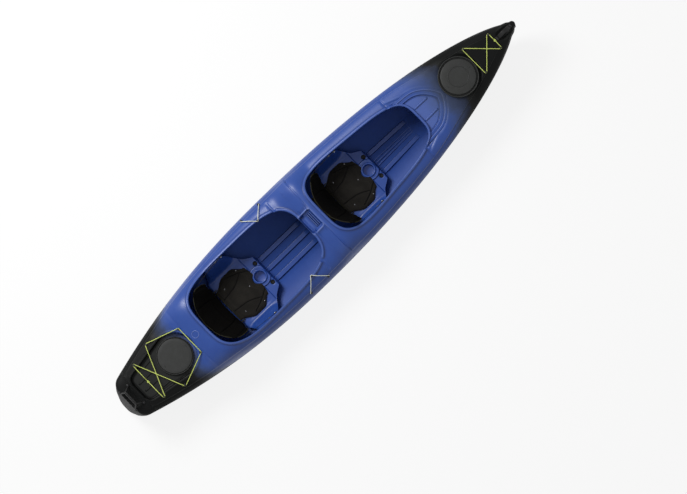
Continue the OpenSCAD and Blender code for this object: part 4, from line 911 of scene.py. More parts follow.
def open_run(o, steps, inset):
    """Stations along an opening: the coaming's section, then the deck out to the seam."""
    a = even_angles(o, steps)
    x, y = outline_at(o, a)
    m = outline_normal(o, a)
    out, up = lip_profile(o)
    dip = sum(np.exp(-(((x - n) / 13.0) ** 6)) for n in NOTCHES) * (y > 150) * 0.95
    up = np.where(up > 0, up[None, :] * (1 - dip[:, None]), up[None, :])
    d = np.maximum(out, inset)
    px = x[:, None] + m[:, :1] * d
    py = np.maximum(0, y[:, None] + m[:, 1:] * d)
    py[0] = 0
    py[-1] = 0
    z = deck_face(px, py) + up
    if inset > 0:
        z[:, 1:] -= inset
    margin = o["width"] + 26
    centre = o["aft"] + o["length"] / 2
    gx = centre + (x - centre) * (1 + 2 * margin / o["length"])
    first = np.stack([px, py, z], axis=-1)
    count = ACROSS_INNER if inset > 0 else ACROSS
    return np.concatenate([first, across_deck(px[:, -1], py[:, -1], gx, inset, count)], axis=1)


DECK_RUNS = (("plain", None, 44), ("open", STERN_HOLE, 64), ("plain", None, 26),
             ("open", REAR_OPEN, 128), ("plain", None, 24), ("open", FRONT_OPEN, 128),
             ("plain", None, 46), ("open", BOW_HOLE, 64), ("plain", None, 36))


def deck_sheet(inset):
    """One face of half the deck: stations from stern to bow, and which of them lie along an opening."""
    rows = []
    flags = []
    start = DECK_AFT
    holes = [o for kind, o, _ in DECK_RUNS if kind == "open"]
    after = [o["aft"] - o["width"] - 40 for o in holes] + [BOW]
    for k, (kind, o, count) in enumerate(DECK_RUNS):
        if kind == "plain":
            rows.append(plain_run(start, after[k // 2], count, inset))
            flags.append(np.zeros(count, bool))
        else:
            rows.append(open_run(o, count, inset))
            flags.append(np.ones(count + 1, bool))
            start = o["aft"] + o["length"] + o["width"] + 40
    return np.concatenate(rows), np.concatenate(flags)


def deck_half():
    """Points and faces of the port half of the deck, and the numbers of its end rows, outer and inner."""
    outer, flags = deck_sheet(0.0)
    inner, _ = deck_sheet(WALL)
    outer = nose_rows(outer, NOSE)
    extra = len(outer) - len(inner)
    inner = np.concatenate([inner, np.repeat(inner[-1:], extra, axis=0)])
    flags = np.concatenate([flags, np.zeros(extra, bool)])
    both = flags[:-1] & flags[1:]
    faces = []
    starts = []
    ends = []
    start = 0
    for sheet in (outer, inner):
        rows, cols = sheet.shape[:2]
        face = grid_quads(rows, cols, start).reshape(rows - 1, cols - 1, 4)
        keep = both[:, None] | (np.arange(cols - 1) >= LIP_STEPS - 1)[None, :]
        faces.append(face[keep] if start == 0 else face[keep][:, ::-1])
        starts.append(start + np.arange(rows) * cols)
        j = start + np.arange(LIP_STEPS - 1, cols)
        ends.extend([j, j + (rows - 1) * cols])
        start += rows * cols
    a, b = starts
    wall = np.stack([a[:-1], b[:-1], b[1:], a[1:]], axis=-1)[both]
    c = a + outer.shape[1] - 1
    d = b + inner.shape[1] - 1
    edge = np.stack([c[:-1], c[1:], d[1:], d[:-1]], axis=-1)
    verts = np.concatenate([outer.reshape(-1, 3), inner.reshape(-1, 3)])
    corners = np.array([[c[0], d[0]], [c[-1], d[-1]]])
    # Painted light of the deck: a highlight on its ridges, shade in its valleys and along lines
    bent = edge_turn(outer)
    # The painted highlight on the lips round the openings is kept faint
    bent[:, :LIP_STEPS - 3] *= 0.3
    bent = np.clip(bent + painted_light_lines(outer[..., 0], outer[..., 1]), -1, 1)
    turn = np.concatenate([bent.ravel(), np.zeros(inner.shape[0] * inner.shape[1])])
    return verts, np.concatenate([*faces, wall, edge]), ends, corners, turn


def build_deck():
    """The deck: outer and inner faces, port and starboard, closed along openings, seam and ends."""
    verts, quads, ends, corners, turn = deck_half()
    v, q = joined([(verts, quads), mirrored((verts, quads))])
    other = len(verts)
    caps = [np.stack([j[:-1], j[1:], j[1:] + other, j[:-1] + other], axis=-1) for j in ends]
    caps.append(np.stack([corners[:, 0], corners[:, 0] + other, corners[:, 1] + other, corners[:, 1]],
                         axis=-1))
    q = np.concatenate([q, *caps])
    return make_piece("deck", v, q, finish("rotomoulded_polyethylene"), nodes=("deck_shell",),
                      sharp=50, marks={"edge": np.tile(turn, 2)})


def build_seam():
    """The ridge along the parting seam: an oval bead carried round the whole boat."""
    t = np.linspace(0, 1, 260)
    x = mix(DECK_AFT, BOW, t - 0.08 * np.sin(2 * np.pi * t))
    side = np.stack([x, plan_half(x), seam_z(x) + 0.2], axis=-1)
    a = np.linspace(0, np.pi, 13)[1:-1]
    tip = side[-1]
    nose = np.stack([BOW + NOSE * np.sin(a), tip[1] * np.cos(a), np.full_like(a, tip[2])], axis=-1)
    share = np.linspace(0, 1, 12)[:-1, None]
    across = share * side[:1] * np.array([0, 1, 0]) + side[:1] * np.array([1, 0, 1])
    port = np.concatenate([across, side])
    path = np.concatenate([port, nose, port[::-1] * np.array([1, -1, 1])])
    v, q = carried(path, ring_of(3.0, 10, 1.5))
    return make_piece("seam_ridge", v, q, finish("rotomoulded_polyethylene"))


def line_of(points, count=60):
    """A plan line through points, bent smoothly, at even steps."""
    p = rounded(points, 4)
    run = np.concatenate([[0], np.cumsum(np.linalg.norm(np.diff(p, axis=0), axis=1))])
    s = np.linspace(0, run[-1], count)
    return np.stack([np.interp(s, run, p[:, 0]), np.interp(s, run, p[:, 1])], axis=-1)


def tray_floor(x, y):
    """Height of the dash tray's floor."""
    return arch_z(x, y) + TRAY_PROUD - TRAY_LEDGE - TRAY_WALL


def coaming_front(y):
    """Where the foot of the front coaming's fore end lies, by distance from the middle."""
    a = np.linspace(np.pi, np.pi * 0.6, 200)
    x, side = outline_at(FRONT_OPEN, a)
    m = unit(np.stack([-np.gradient(side), np.gradient(x)], axis=-1)) * -16.0
    m[0] = (16.0, 0.0)
    return np.interp(np.abs(y), side + m[:, 1], x + m[:, 0])


def build_dash_tray():
    """The dash tray: arches of one form, from its flush edge down a ledge and a wall to the middle of its
    floor."""
    lines = [(1.34, 1.24, 8), (1.23, 1.165, 14), (1.155, 1.05, 8), (1.04, 0.94, 18), (0.93, 0.02, 24)]
    k = np.concatenate([np.linspace(*line) for line in lines])[:, None]
    a = np.linspace(-np.pi / 2, np.pi / 2, 141)[None, :]
    x = DASH_X + k * DASH_LENGTH * np.cos(a)
    y = k * TRAY_HALF * np.sign(np.sin(a)) * np.abs(np.sin(a)) ** 1.5
    x = x + (coaming_front(y) - DASH_X) * (1 - ramp(0, 90, x - DASH_X))
    drop = TRAY_LEDGE * ramp(1.215, 1.175, k) + TRAY_WALL * ramp(1.02, 0.96, k) + 1.6 * ramp(1.325, 1.34, k)
    z = arch_z(x, y) + TRAY_PROUD - drop
    # Painted highlight on the edges of the ledge and the wall, a paler floor, and painted shade at the foot
    # of the ledge and of the wall
    pale = 0.9 * np.exp(-(((k - 1.222) / 0.016) ** 2)) + 0.5 * np.exp(-(((k - 1.03) / 0.016) ** 2))
    pale = pale + 0.42 * ramp(0.93, 0.89, k)
    dark = 0.8 * np.exp(-(((k - 1.168) / 0.02) ** 2)) + np.exp(-(((k - 0.955) / 0.02) ** 2))
    marks = np.clip(np.broadcast_to(pale - dark, x.shape), -1, 1)
    top = np.stack([x, y, z], axis=-1)
    v = np.concatenate([top, top[::-1] - (0, 0, 1.0)]).transpose(1, 0, 2)
    marks = np.concatenate([marks, marks[::-1]]).T
    return make_piece("dash_tray", v, grid_quads(*marks.shape, wrap=True),
                      finish("rotomoulded_polyethylene"), sharp=60, marks={"edge": marks})


def rib_painted_light(points, share=1.0):
    """Marks of a rib: its bends scaled by a share, for a painted highlight on its crest, and painted shade
    where its sides meet the face under it.
    """
    turn = share * edge_turn(points.reshape(-1, 13, 3))
    turn[:, :2] = -1
    turn[:, -2:] = -1
    return turn.ravel()


def build_deck_ribs():
    """Moulded ribs: in the tank well, on the dash tray and in the console pocket."""
    parts = []
    for side in (1, -1):
        for y, a, b in ((37, 228, 372), (108, 330, 428)):
            parts.append(rib_on(line_of([(STERN + a, side * y * 0.92), (STERN + b, side * y)]), deck_face,
                                15, 6))
        parts.append(rib_on(line_of([(DASH_X + 4, side * 60), (DASH_X + 140, side * 57)]), tray_floor, 15,
                            9, 0.3))
    for x in POCKET_RIBS:
        parts.append(rib_on(line_of([(STERN + x, -62), (STERN + x, 62)]), deck_face, 8, 14))
    v, q = joined(parts)
    # Painted highlight on the ribs' crests and painted shade at their feet
    turn = np.concatenate([rib_painted_light(p) for p, _ in parts])
    return make_piece("deck_ribs", v, q, finish("rotomoulded_polyethylene"),
                      marks={"edge": turn})


def build_ring_mark():
    """A small round boss on the deck ahead of the tank well, as a ring carried round a circle."""
    a = np.linspace(0, 2 * np.pi, 61)
    path = np.stack([STERN + 806 + 27 * np.cos(a), 27 * np.sin(a)], axis=-1)
    z = deck_face(path[:, 0], path[:, 1]) + 0.4
    v, q = carried(np.column_stack([path, z]), ring_of(2.4, 10))
    # The ring carries a painted highlight all round
    return make_piece("vent_boss_ring", v, q, finish("rotomoulded_polyethylene"),
                      marks={"edge": np.full(len(v), 0.8)})


def build_floor_ribs():
    """Stiffening ribs along the cockpit floor: broad flat-topped bands, with three narrow ones in front."""
    parts = []
    for y in (0, 96, -96):
        parts.append(rib_on(line_of([(STERN + 1500, y), (STERN + 1958, y)], 80), floor_z, 44, 12, 0.72))
    for y in (90, -90):
        parts.append(rib_on(line_of([(STERN + 2660, y), (STERN + 3064, y * 0.84)], 80), floor_z, 40, 12, 0.72,
                            fade=(40, 260)))
    for y in (0, 24, -24):
        parts.append(rib_on(line_of([(STERN + 2660, y), (STERN + 3064, y * 0.8)], 80), floor_z, 13, 9, 0.2,
                            fade=(13, 260)))
    v, q = joined(parts)
    # Painted highlight on the ribs' crests and painted shade at their feet
    turn = np.concatenate([rib_painted_light(p, 0.3) for p, _ in parts])
    return make_piece("floor_ribs", v, q, finish("moulded_seat_polyethylene"),
                      marks={"edge": turn})


def pillow(a, b, c, edge=0.35, plan=0.35, rows=17, cols=40):
    """A block with soft edges: a superellipsoid with half sizes a, b and c."""
    v = np.linspace(-np.pi / 2, np.pi / 2, rows)[:, None]
    u = (np.arange(cols) * 2 * np.pi / cols)[None, :]
    cv = np.sign(np.cos(v)) * np.abs(np.cos(v)) ** edge
    sv = np.sign(np.sin(v)) * np.abs(np.sin(v)) ** edge
    cu = np.sign(np.cos(u)) * np.abs(np.cos(u)) ** plan
    su = np.sign(np.sin(u)) * np.abs(np.sin(u)) ** plan
    pts = np.stack([a * cv * cu, b * cv * su, c * sv + 0 * u], axis=-1)
    return pts.reshape(-1, 3), grid_quads(rows, cols, wrap=True)


def placed(part, origin, axes):
    """A shape moved to an origin, with its x, y and z along three axes."""
    v, q = part
    return np.asarray(v) @ np.asarray(axes, float) + np.asarray(origin, float), q


def shifted(part, by):
    """A shape moved by an offset."""
    return np.asarray(part[0]) + np.asarray(by, float), part[1]


def screw_head(r, h):
    """A domed screw head with a round socket, turned."""
    p = [(0.01, 0.35 * h), (0.28 * r, 0.35 * h), (0.34 * r, 0.98 * h), (0.45 * r, h), (0.7 * r, 0.86 * h),
         (0.92 * r, 0.5 * h), (r, 0.1 * h), (r, -0.6)]
    return turned(p, 32)


def dress(names, material):
    """Gives CAD nodes that stay their material."""
    for name in names:
        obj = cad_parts[name]
        if not obj.material_slots:
            obj.data.materials.append(material)
        for place in obj.material_slots:
            place.material = material


def cover_part(x, z, r, h, lid_r, ring_r, ring_h, deep):
    """A pull-off cover: a flat lid with a fine ring on it, a deep moat round the lid, a round lip, and a
    skirt with grip scallops; hollow below."""
    m = r - 5.5 - lid_r
    p = [(0.01, h + 1), (ring_r - 3, h + 1), (ring_r - 2, h + 1 + 0.7 * ring_h), (ring_r, h + 1 + ring_h),
         (ring_r + 2, h + 1 + 0.7 * ring_h), (ring_r + 3, h + 1), (lid_r - 3, h + 1), (lid_r - 0.8, h + 0.4),
         (lid_r + 0.12 * m, h - 1.4), (lid_r + 0.2 * m, h - deep + 1.5), (lid_r + 0.28 * m, h - deep),
         (lid_r + 0.8 * m, h - deep), (lid_r + 0.88 * m, h - deep + 1.5), (lid_r + 0.92 * m, h - 3),
         (r - 5.5, h - 1.2), (r - 3.5, h - 0.8), (r - 1.2, h - 2.2), (r - 0.4, h - 5), (r, 7), (r, 1.5),
         (r - 1, 0.2), (r - 3.4, 0.2), (r - 3.6, h - deep - 1.5), (r - 5, h - deep - 3),
         (lid_r + 0.18 * m, h - deep - 3), (lid_r + 0.1 * m, h - 4.8), (0.01, h - 4.8)]

    def grips(a, radius, height):
        return np.where((radius > r - 1) & (height < h - 4), -1.0 * (0.5 + 0.5 * np.cos(28 * a)) ** 2, 0.0)

    return turned(p, 168, (x, 0, z + 0.3), grips)


def build_hatches():
    """Both hatch covers, each with two small pull tabs, and the rims under them."""
    covers = (("bow_hatch_lid", BOW_HATCH_X, BOW_HATCH_Z, BOW_COVER_R, 34.0, 131.0, 77.0, 3.4, 9.5,
               "bow_hatch_cover"),
              ("stern_hatch_lid", STERN_HATCH_X, TANK_FLOOR, STERN_COVER_R, 22.0, 131.0, 100.0, 0.0, 6.0,
               "stern_hatch_cover"))
    for name, x, z, r, h, lid_r, ring_r, ring_h, deep, node in covers:
        parts = [cover_part(x, z, r, h, lid_r, ring_r, ring_h, deep)]
        for side in (1, -1):
            parts.append(shifted(pillow(4, 13, 2.2, 0.5, 0.6), (x + side * (lid_r - 22), 0, z + h + 1.4)))
        v, q = joined(parts)
        make_piece(name, v, q, finish("hatch_rubber"), body=node, nodes=(node,),
                   sharp=40)
        m = r - 5.5 - lid_r
        # A near-black ring in the moat round each lid: painted shade for the moat
        moat_shade_ring = [(lid_r + 0.3 * m, h - deep - 0.5), (lid_r + 0.34 * m, h - deep + 1.6),
                (lid_r + 0.54 * m, h - deep + 2.2), (lid_r + 0.74 * m, h - deep + 1.6),
                (lid_r + 0.78 * m, h - deep - 0.5)]
        v, q = turned(moat_shade_ring, 128, (x, 0, z + 0.3))
        make_piece(name[:-4] + "_seal", v, q, finish("grommet_rubber"), body=node)
    dress(("bow_hatch_rim", "stern_hatch_rim"), finish("glass_filled_nylon"))


# Seat sizes, along from the back of the pan and up from the keel
PAN_LENGTH = 408.0
PAN_HALF = 208.0
PAN_TOP = 92.0
WING_HALF = 318.0
CUP_X = 333.0
CUP_R = 46.0
DRAIN_X = 374.0
DRAIN_Y = 98.0
PAD_LENGTH = 311.0
PAD_HALF = 202.0


def wing_at(x):
    """How far the hip wings are out and up at a distance from the pan's back."""
    return ramp(0, 70, x) * (1 - ramp(210, 330, x))


def pan_y(x, c):
    """Distance from the middle of a column of the pan: it is widest at the wings and round at its front
    corners."""
    share = mix(1, 0.66, ramp(250, PAN_LENGTH, x)) * (1 - 0.12 * np.maximum(0, (x - 368) / 40) ** 2)
    out = np.maximum(0, np.abs(c) - PAN_HALF) / (WING_HALF - PAN_HALF)
    wide = np.minimum(np.abs(c), PAN_HALF) + out * mix(20, WING_HALF - PAN_HALF, wing_at(x))
    return np.sign(c) * share * wide


def pan_height(base, x, y):
    """Height of the seat pan: level, with hip wings, a cup well with a raised ring, two drain hollows and a
    front lip to the floor."""
    flat = PAN_TOP + 150 * wing_at(x) * ramp(PAN_HALF, WING_HALF, np.abs(y))
    r = np.hypot(x - CUP_X, y)
    cup = 46 * ramp(CUP_R + 3, CUP_R - 3, r) - 6 * ramp(CUP_R + 13, CUP_R + 9, r) * ramp(CUP_R, CUP_R + 4, r)
    step = 10 * ramp(4, -4, np.maximum(82 - r, 304 - x)) * ramp(215, 205, np.abs(y))
    drain = step + 4 * ramp(21, 18, np.hypot(x - DRAIN_X, np.abs(y) - DRAIN_Y))
    collar = 3 * ramp(180, 206, np.abs(y)) * ramp(240, 210, np.abs(y)) * ramp(20, 70, x) * ramp(300, 240, x)
    front = ramp(PAN_LENGTH - 14, PAN_LENGTH, x)
    return mix(flat + collar - cup - drain, floor_z(base + x, y) + 7.1, front)


def pan_part(base, rows=137, cols=191):
    """The seat pan as two faces a wall apart, closed round the edge."""
    x = np.linspace(0, PAN_LENGTH, rows)[:, None]
    c = np.linspace(-WING_HALF, WING_HALF, cols)[None, :]
    y = pan_y(x, c)
    z = pan_height(base, x, y)
    edge = np.minimum(np.minimum(x, 40), WING_HALF - np.abs(c))
    roll = 2.2 * (1 - np.sqrt(np.clip(edge / 5.0, 0, 1)))
    top = np.stack([base + x + 0 * c, y, z - roll], axis=-1)
    low = np.stack([base + x + 0 * c, y, z - 6], axis=-1)
    v, q = slab_part(top, low)
    # The top face's bends give a painted highlight on its ridges and painted shade in its hollows
    return v, q, np.concatenate([edge_turn(top).ravel(), np.zeros(rows * cols)])


def cup_liner(base):
    """The cup well's smooth wall and round rim, turned."""
    p = [(0.01, 47.2), (CUP_R - 9, 47.2), (CUP_R - 5, 48.5), (CUP_R - 3.9, 52), (CUP_R - 3.4, 94),
         (CUP_R - 2, 97.4), (CUP_R + 1, 99), (CUP_R + 6, 99.2), (CUP_R + 9.5, 97.8), (CUP_R + 11, 94.5),
         (CUP_R + 11, 88), (CUP_R - 2.2, 86), (CUP_R - 2.9, 50), (CUP_R - 8, 46.4), (0.01, 46.4)]
    return turned(p, 96, (base + CUP_X, 0, 0))


def drain_shade_discs(base):
    """Near-black discs in the pan's two drain hollows, painted shade for the holes: a dished disc with a
    round rim, turned.
    """
    disc = turned([(0.01, -1.2), (9, -1.2), (11, 0.2), (12, 2.6), (14, 3.8), (16, 3.2), (17, 1), (17, -2),
                   (0.01, -2)], 40)
    return joined([shifted(disc, (base + DRAIN_X, side * DRAIN_Y, PAN_TOP - 11.8)) for side in (1, -1)])


def pad_grid(t, s):
    """The seat pad's plan and top: narrower at the back, notched round the cup well, crowned."""
    notch = (CUP_R + 12) * np.sqrt(np.maximum(0, 1 - (s * PAD_HALF / (CUP_R + 22)) ** 2))
    end = PAD_LENGTH - np.maximum(0, notch - (CUP_X - PAD_LENGTH)) - 20 * np.abs(s) ** 3
    x = mix(-3, end, t)
    wide = PAD_HALF * mix(0.72, 1, ramp(0, 0.42, t)) * mix(1, 0.7, ramp(0.68, 1, t))
    edge = np.minimum(1, 6 * np.minimum(np.minimum(t, 1 - t), 1 - np.abs(s)))
    top = 16 * mix(0.45, 1, np.sqrt(1 - (1 - edge) ** 2)) + 3 * (1 - s * s) * np.sin(np.pi * t)
    return x, s * wide, top


def slab_part(top, low):
    """A closed slab between two grids of points."""
    rows, cols = top.shape[:2]
    n = rows * cols
    i = np.arange(rows - 1) * cols
    j = np.arange(cols - 1)
    last = cols - 1
    far = (rows - 1) * cols
    sides = [np.stack([i, i + n, i + cols + n, i + cols], axis=-1),
             np.stack([i + last, i + cols + last, i + cols + last + n, i + last + n], axis=-1),
             np.stack([j, j + 1, j + 1 + n, j + n], axis=-1),
             np.stack([far + j, far + j + n, far + j + 1 + n, far + j + 1], axis=-1)]
    quads = np.concatenate([grid_quads(rows, cols), grid_quads(rows, cols, n)[:, ::-1], *sides])
    return np.concatenate([top.reshape(-1, 3), low.reshape(-1, 3)]), quads


def mesh_points(mesh):
    """A mesh's points as an array in millimetres."""
    co = np.empty(len(mesh.vertices) * 3)
    mesh.vertices.foreach_get("co", co)
    return co.reshape(-1, 3) / MM


def mesh_quads(mesh):
    """A mesh's four-cornered faces as an array."""
    loops = np.empty(len(mesh.loops), int)
    mesh.loops.foreach_get("vertex_index", loops)
    return loops.reshape(-1, 4)


def worked_mesh(obj):
    """A copy of an object's mesh with its modifiers worked out."""
    graph = bpy.context.evaluated_depsgraph_get()
    return bpy.data.meshes.new_from_object(obj.evaluated_get(graph))


def swollen(name, part, cap, voxel):
    """A pad under air pressure: remeshed evenly, blown as cloth for 20 frames with each point's move
    capped, then divided once for a smooth face."""
    v, q = part
    mesh = bpy.data.meshes.new(name)
    mesh.from_pydata((np.asarray(v) * MM).tolist(), [], np.asarray(q).tolist())
    obj = bpy.data.objects.new(name, mesh)
    bpy.context.scene.collection.objects.link(obj)
    remesh = obj.modifiers.new("even_skin", "REMESH")
    remesh.mode = "VOXEL"
    remesh.voxel_size = voxel
    bpy.context.view_layer.update()
    obj.data = worked_mesh(obj)
    obj.modifiers.clear()
    rest = mesh_points(obj.data)
    cloth = obj.modifiers.new("filling", "CLOTH")
    cloth.settings.use_pressure = True
    cloth.settings.uniform_pressure_force = 4.0
    cloth.settings.effector_weights.gravity = 0.0
    cloth.point_cache.frame_start = 1
    cloth.point_cache.frame_end = 20
    for number in range(1, 21):
        bpy.context.scene.frame_set(number)
    moved = mesh_points(worked_mesh(obj)) - rest
    far = np.linalg.norm(moved, axis=1, keepdims=True)
    rest = rest + moved * np.minimum(1, cap / np.maximum(far, 1e-9))
    obj.modifiers.clear()
    bpy.context.scene.frame_set(1)
    obj.data.vertices.foreach_set("co", (rest * MM).ravel())
    obj.data.update()
    smooth = obj.modifiers.new("smooth", "SUBSURF")
    smooth.levels = 1
    smooth.render_levels = 1
    bpy.context.view_layer.update()
    fine = worked_mesh(obj)
    bpy.data.objects.remove(obj)
    return mesh_points(fine), mesh_quads(fine)


def line_distance(points, line):
    """Distance in plan from points to a line of short lengths."""
    a = line[:-1][None]
    d = np.diff(line, axis=0)[None]
    p = points[:, None, :] - a
    t = np.clip((p * d).sum(-1) / np.maximum((d * d).sum(-1), 1e-9), 0, 1)
    return np.linalg.norm(p - d * t[..., None], axis=-1).min(axis=1)


RIVETS = ((72, 118), (72, -118), (232, 160), (232, -160), (225, 0))
PAD_CUTS = (((14, 58), (70, 66), (147, 76), (232, 122)), ((128, 172), (217, 142), (296, 96)))
CUT_WIDTH = 4.2


def rivet_seat(x, y):
    """Height of the pad under a rivet, over the pan."""
    s = y / PAD_HALF
    end = float(pad_grid(np.array(1.0), np.array(s))[0])
    t = (x + 3) / (end + 3)
    wide = float(pad_grid(np.array(t), np.array(1.0))[1])
    top = float(pad_grid(np.array(t), np.array(y / wide))[2])
    near = float(ramp(0, 0.09, abs(abs(y / wide) - mix(0.42, 0.62, t))))
    return top - 3 * (1 - near) * float(ramp(0, 0.2, min(t, 1 - t)))


def build_seat(end, base):
    """One seat: the moulded pan, its die-cut pad with pressed lines, and the rivets through it."""
    v, q, turn = pan_part(base)
    make_piece(end + "_seat_shell", v, q, finish("moulded_seat_polyethylene"),
               nodes=(end + "_seat_pan",), sharp=55, marks={"edge": turn})
    t = np.linspace(0, 1, 60)[:, None]
    s = np.linspace(-1, 1, 81)[None, :]
    x, y, top = pad_grid(t, s)
    z = PAN_TOP + 0.3
    up = np.stack([x, y, z + np.maximum(top - 2, 3)], axis=-1)
    low = np.stack([x, 0.985 * y, np.full_like(x, z)], axis=-1)
    soft = bpy.context.scene.kayak_soft
    v, q = swollen(end + "_pad_skin", slab_part(up, low), soft.seat_swell / MM, 0.005)
    high = v[:, 2] > z + 5
    plan = v[:, :2]
    pressed = np.zeros(len(v))
    for cut in PAD_CUTS:
        for side in (1, -1):
            line = line_of([(px, side * py) for px, py in cut], 40)
            pressed = np.maximum(pressed, high * np.exp(-((line_distance(plan, line) / CUT_WIDTH) ** 2)))
    v[:, 2] -= 5.5 * pressed
    for rx, ry in RIVETS:
        seat = z + rivet_seat(rx, ry) + 0.4
        r = np.hypot(plan[:, 0] - rx, plan[:, 1] - ry)
        limit = seat + np.maximum(0, r - 6.5) * 0.45
        v[:, 2] = np.where(high & (r < 30), np.minimum(v[:, 2], limit), v[:, 2])
    v[:, 2] = np.maximum(v[:, 2], z)
    v[:, 0] += base
    pad = make_piece(end + "_seat_cushion", v, q, finish("die_cut_foam_cloth"),
                     nodes=(end + "_seat_pad",), marks={"pressed": pressed})
    hem = np.linspace(-140, 140, 61)[:, None] * np.array([0, 1.0, 0]) + np.array([base - 1.0, 0, z + 9.0])
    v, q = carried(hem, ring_of(4.2, 12, 1.5))
    make_piece(end + "_pad_hem", v, q, finish("binding_cloth"))
    heads = [shifted(screw_head(5.5, 2.6), (base + rx, ry, z + rivet_seat(rx, ry) + 0.6))
             for rx, ry in RIVETS]
    v, q = joined(heads)
    make_piece(end + "_rivets", v, q, finish("drawn_aluminium"),
               nodes=(end + "_pad_rivets",))
    v, q = cup_liner(base)
    make_piece(end + "_cup_liner", v, q, finish("moulded_seat_polyethylene"), sharp=60)
    # Near-black discs: painted shade in the drain holes
    v, q = drain_shade_discs(base)
    make_piece(end + "_drain_hole_shades", v, q, finish("grommet_rubber"))


BACK_WRAP = 108.0
BACK_LOW = 22.0
BACK_HIGH = 330.0


def back_wide(t):
    """Half width of the backrest up its height."""
    return 246 * mix(0.86, 1, ramp(0, 0.5, t)) * mix(1, 0.98, ramp(0.7, 1, t))


def back_bend(t, s):
    """How far the backrest wraps forward: more at its sides, less near its foot."""
    return BACK_WRAP * mix(0.25, 1, ramp(0, 0.4, t)) * np.abs(s) ** 2.2


def back_turn(end, base, v):
    """Points of an upright backrest turned back by its rest angle about the hinge."""
    a = math.radians(34 if end == "rear" else 22)
    c, s = math.cos(a), math.sin(a)
    x = base - 16 + v[..., 0] * c - v[..., 2] * s
    return np.stack([x, v[..., 1], 112 + v[..., 0] * s + v[..., 2] * c], axis=-1)


def build_backrest(end, base):
    """One backrest: a filled pad that wraps forward, with pressed channels, piping, a back plate and its
    hinge."""
    body = end + "_backrest"
    t = np.linspace(0, 1, 60)[:, None]
    s = np.linspace(-1, 1, 97)[None, :]
    corner = 1 - 0.04 * np.abs(2 * t - 1) ** 8
    edge = np.minimum(1, 5 * np.minimum(np.minimum(t + 0.2, 1 - t), 1 - np.abs(s)))
    thick = 24 * mix(0.3, 1, np.sqrt(1 - (1 - edge) ** 2))
    y = s * back_wide(t) * corner
    z = mix(BACK_LOW, BACK_HIGH, t) - 12 * np.abs(s) ** 6 * (2 * t - 1)
    x = 0.6 + back_bend(t, s)
    up = np.stack([x + thick - 2, y, z], axis=-1)
    low = np.stack([x + 1.0, y, z], axis=-1)
    soft = bpy.context.scene.kayak_soft
    v, q = swollen(end + "_back_skin", slab_part(up, low), soft.back_swell / MM, 0.006)
    tt = np.clip((v[:, 2] - BACK_LOW) / (BACK_HIGH - BACK_LOW), 0, 1)
    ss = v[:, 1] / back_wide(tt)
    front = v[:, 0] - 0.6 - back_bend(tt, np.clip(np.abs(ss), 0, 1))
    deep = ramp(8, 16, front) * ramp(0, 0.12, np.minimum(tt, 1 - tt))
    groove = np.exp(-((np.abs(np.abs(ss) - 0.5) / 0.016) ** 2))
    groove = groove + np.exp(-((np.abs(tt - 0.36) / 0.013) ** 2)) * (np.abs(ss) < 0.5)
    pressed = deep * np.minimum(1, groove)
    v[:, 0] -= 5.0 * pressed
    v[:, 0] = np.maximum(v[:, 0], 0.5)
    pad = make_piece(end + "_back_cushion", back_turn(end, base, v), q, finish("brushed_back_cloth"),
                     body=body, nodes=(end + "_backrest_pad",), marks={"pressed": pressed})
    a = np.linspace(0, 2 * np.pi, 241)
    pt = 0.5 + 0.5 * np.sign(np.sin(a)) * np.abs(np.sin(a)) ** 0.28
    ps = np.sign(np.cos(a)) * np.abs(np.cos(a)) ** 0.28
    py = ps * back_wide(pt) * (1 - 0.04 * np.abs(2 * pt - 1) ** 8)
    pz = mix(BACK_LOW, BACK_HIGH, pt) - 12 * np.abs(ps) ** 6 * (2 * pt - 1)
    path = np.stack([5.0 + back_bend(pt, ps), py, pz], axis=-1)
    v, q = carried(path, ring_of(3.4, 10), up=(1.0, 0.0, 0.0))
    make_piece(end + "_back_piping", back_turn(end, base, v), q, finish("binding_cloth"), body=body)
    dress((end + "_backrest_frame", end + "_hinge_brackets"), finish("glass_filled_nylon"))
    dress((end + "_hinge_pins",), finish("pressed_stainless"))


ANCHORS = {"rear": (-720.0, REAR_OPEN), "front": (440.0, FRONT_OPEN)}


def open_half(o, x):
    """Half width of an opening at a station."""
    v = np.abs(x - o["aft"] - o["length"] / 2) / (o["length"] / 2)
    return (o["half"] - o["taper"] * (x - o["aft"])) * (1 - v ** o["power"]) ** (1 / o["power"])


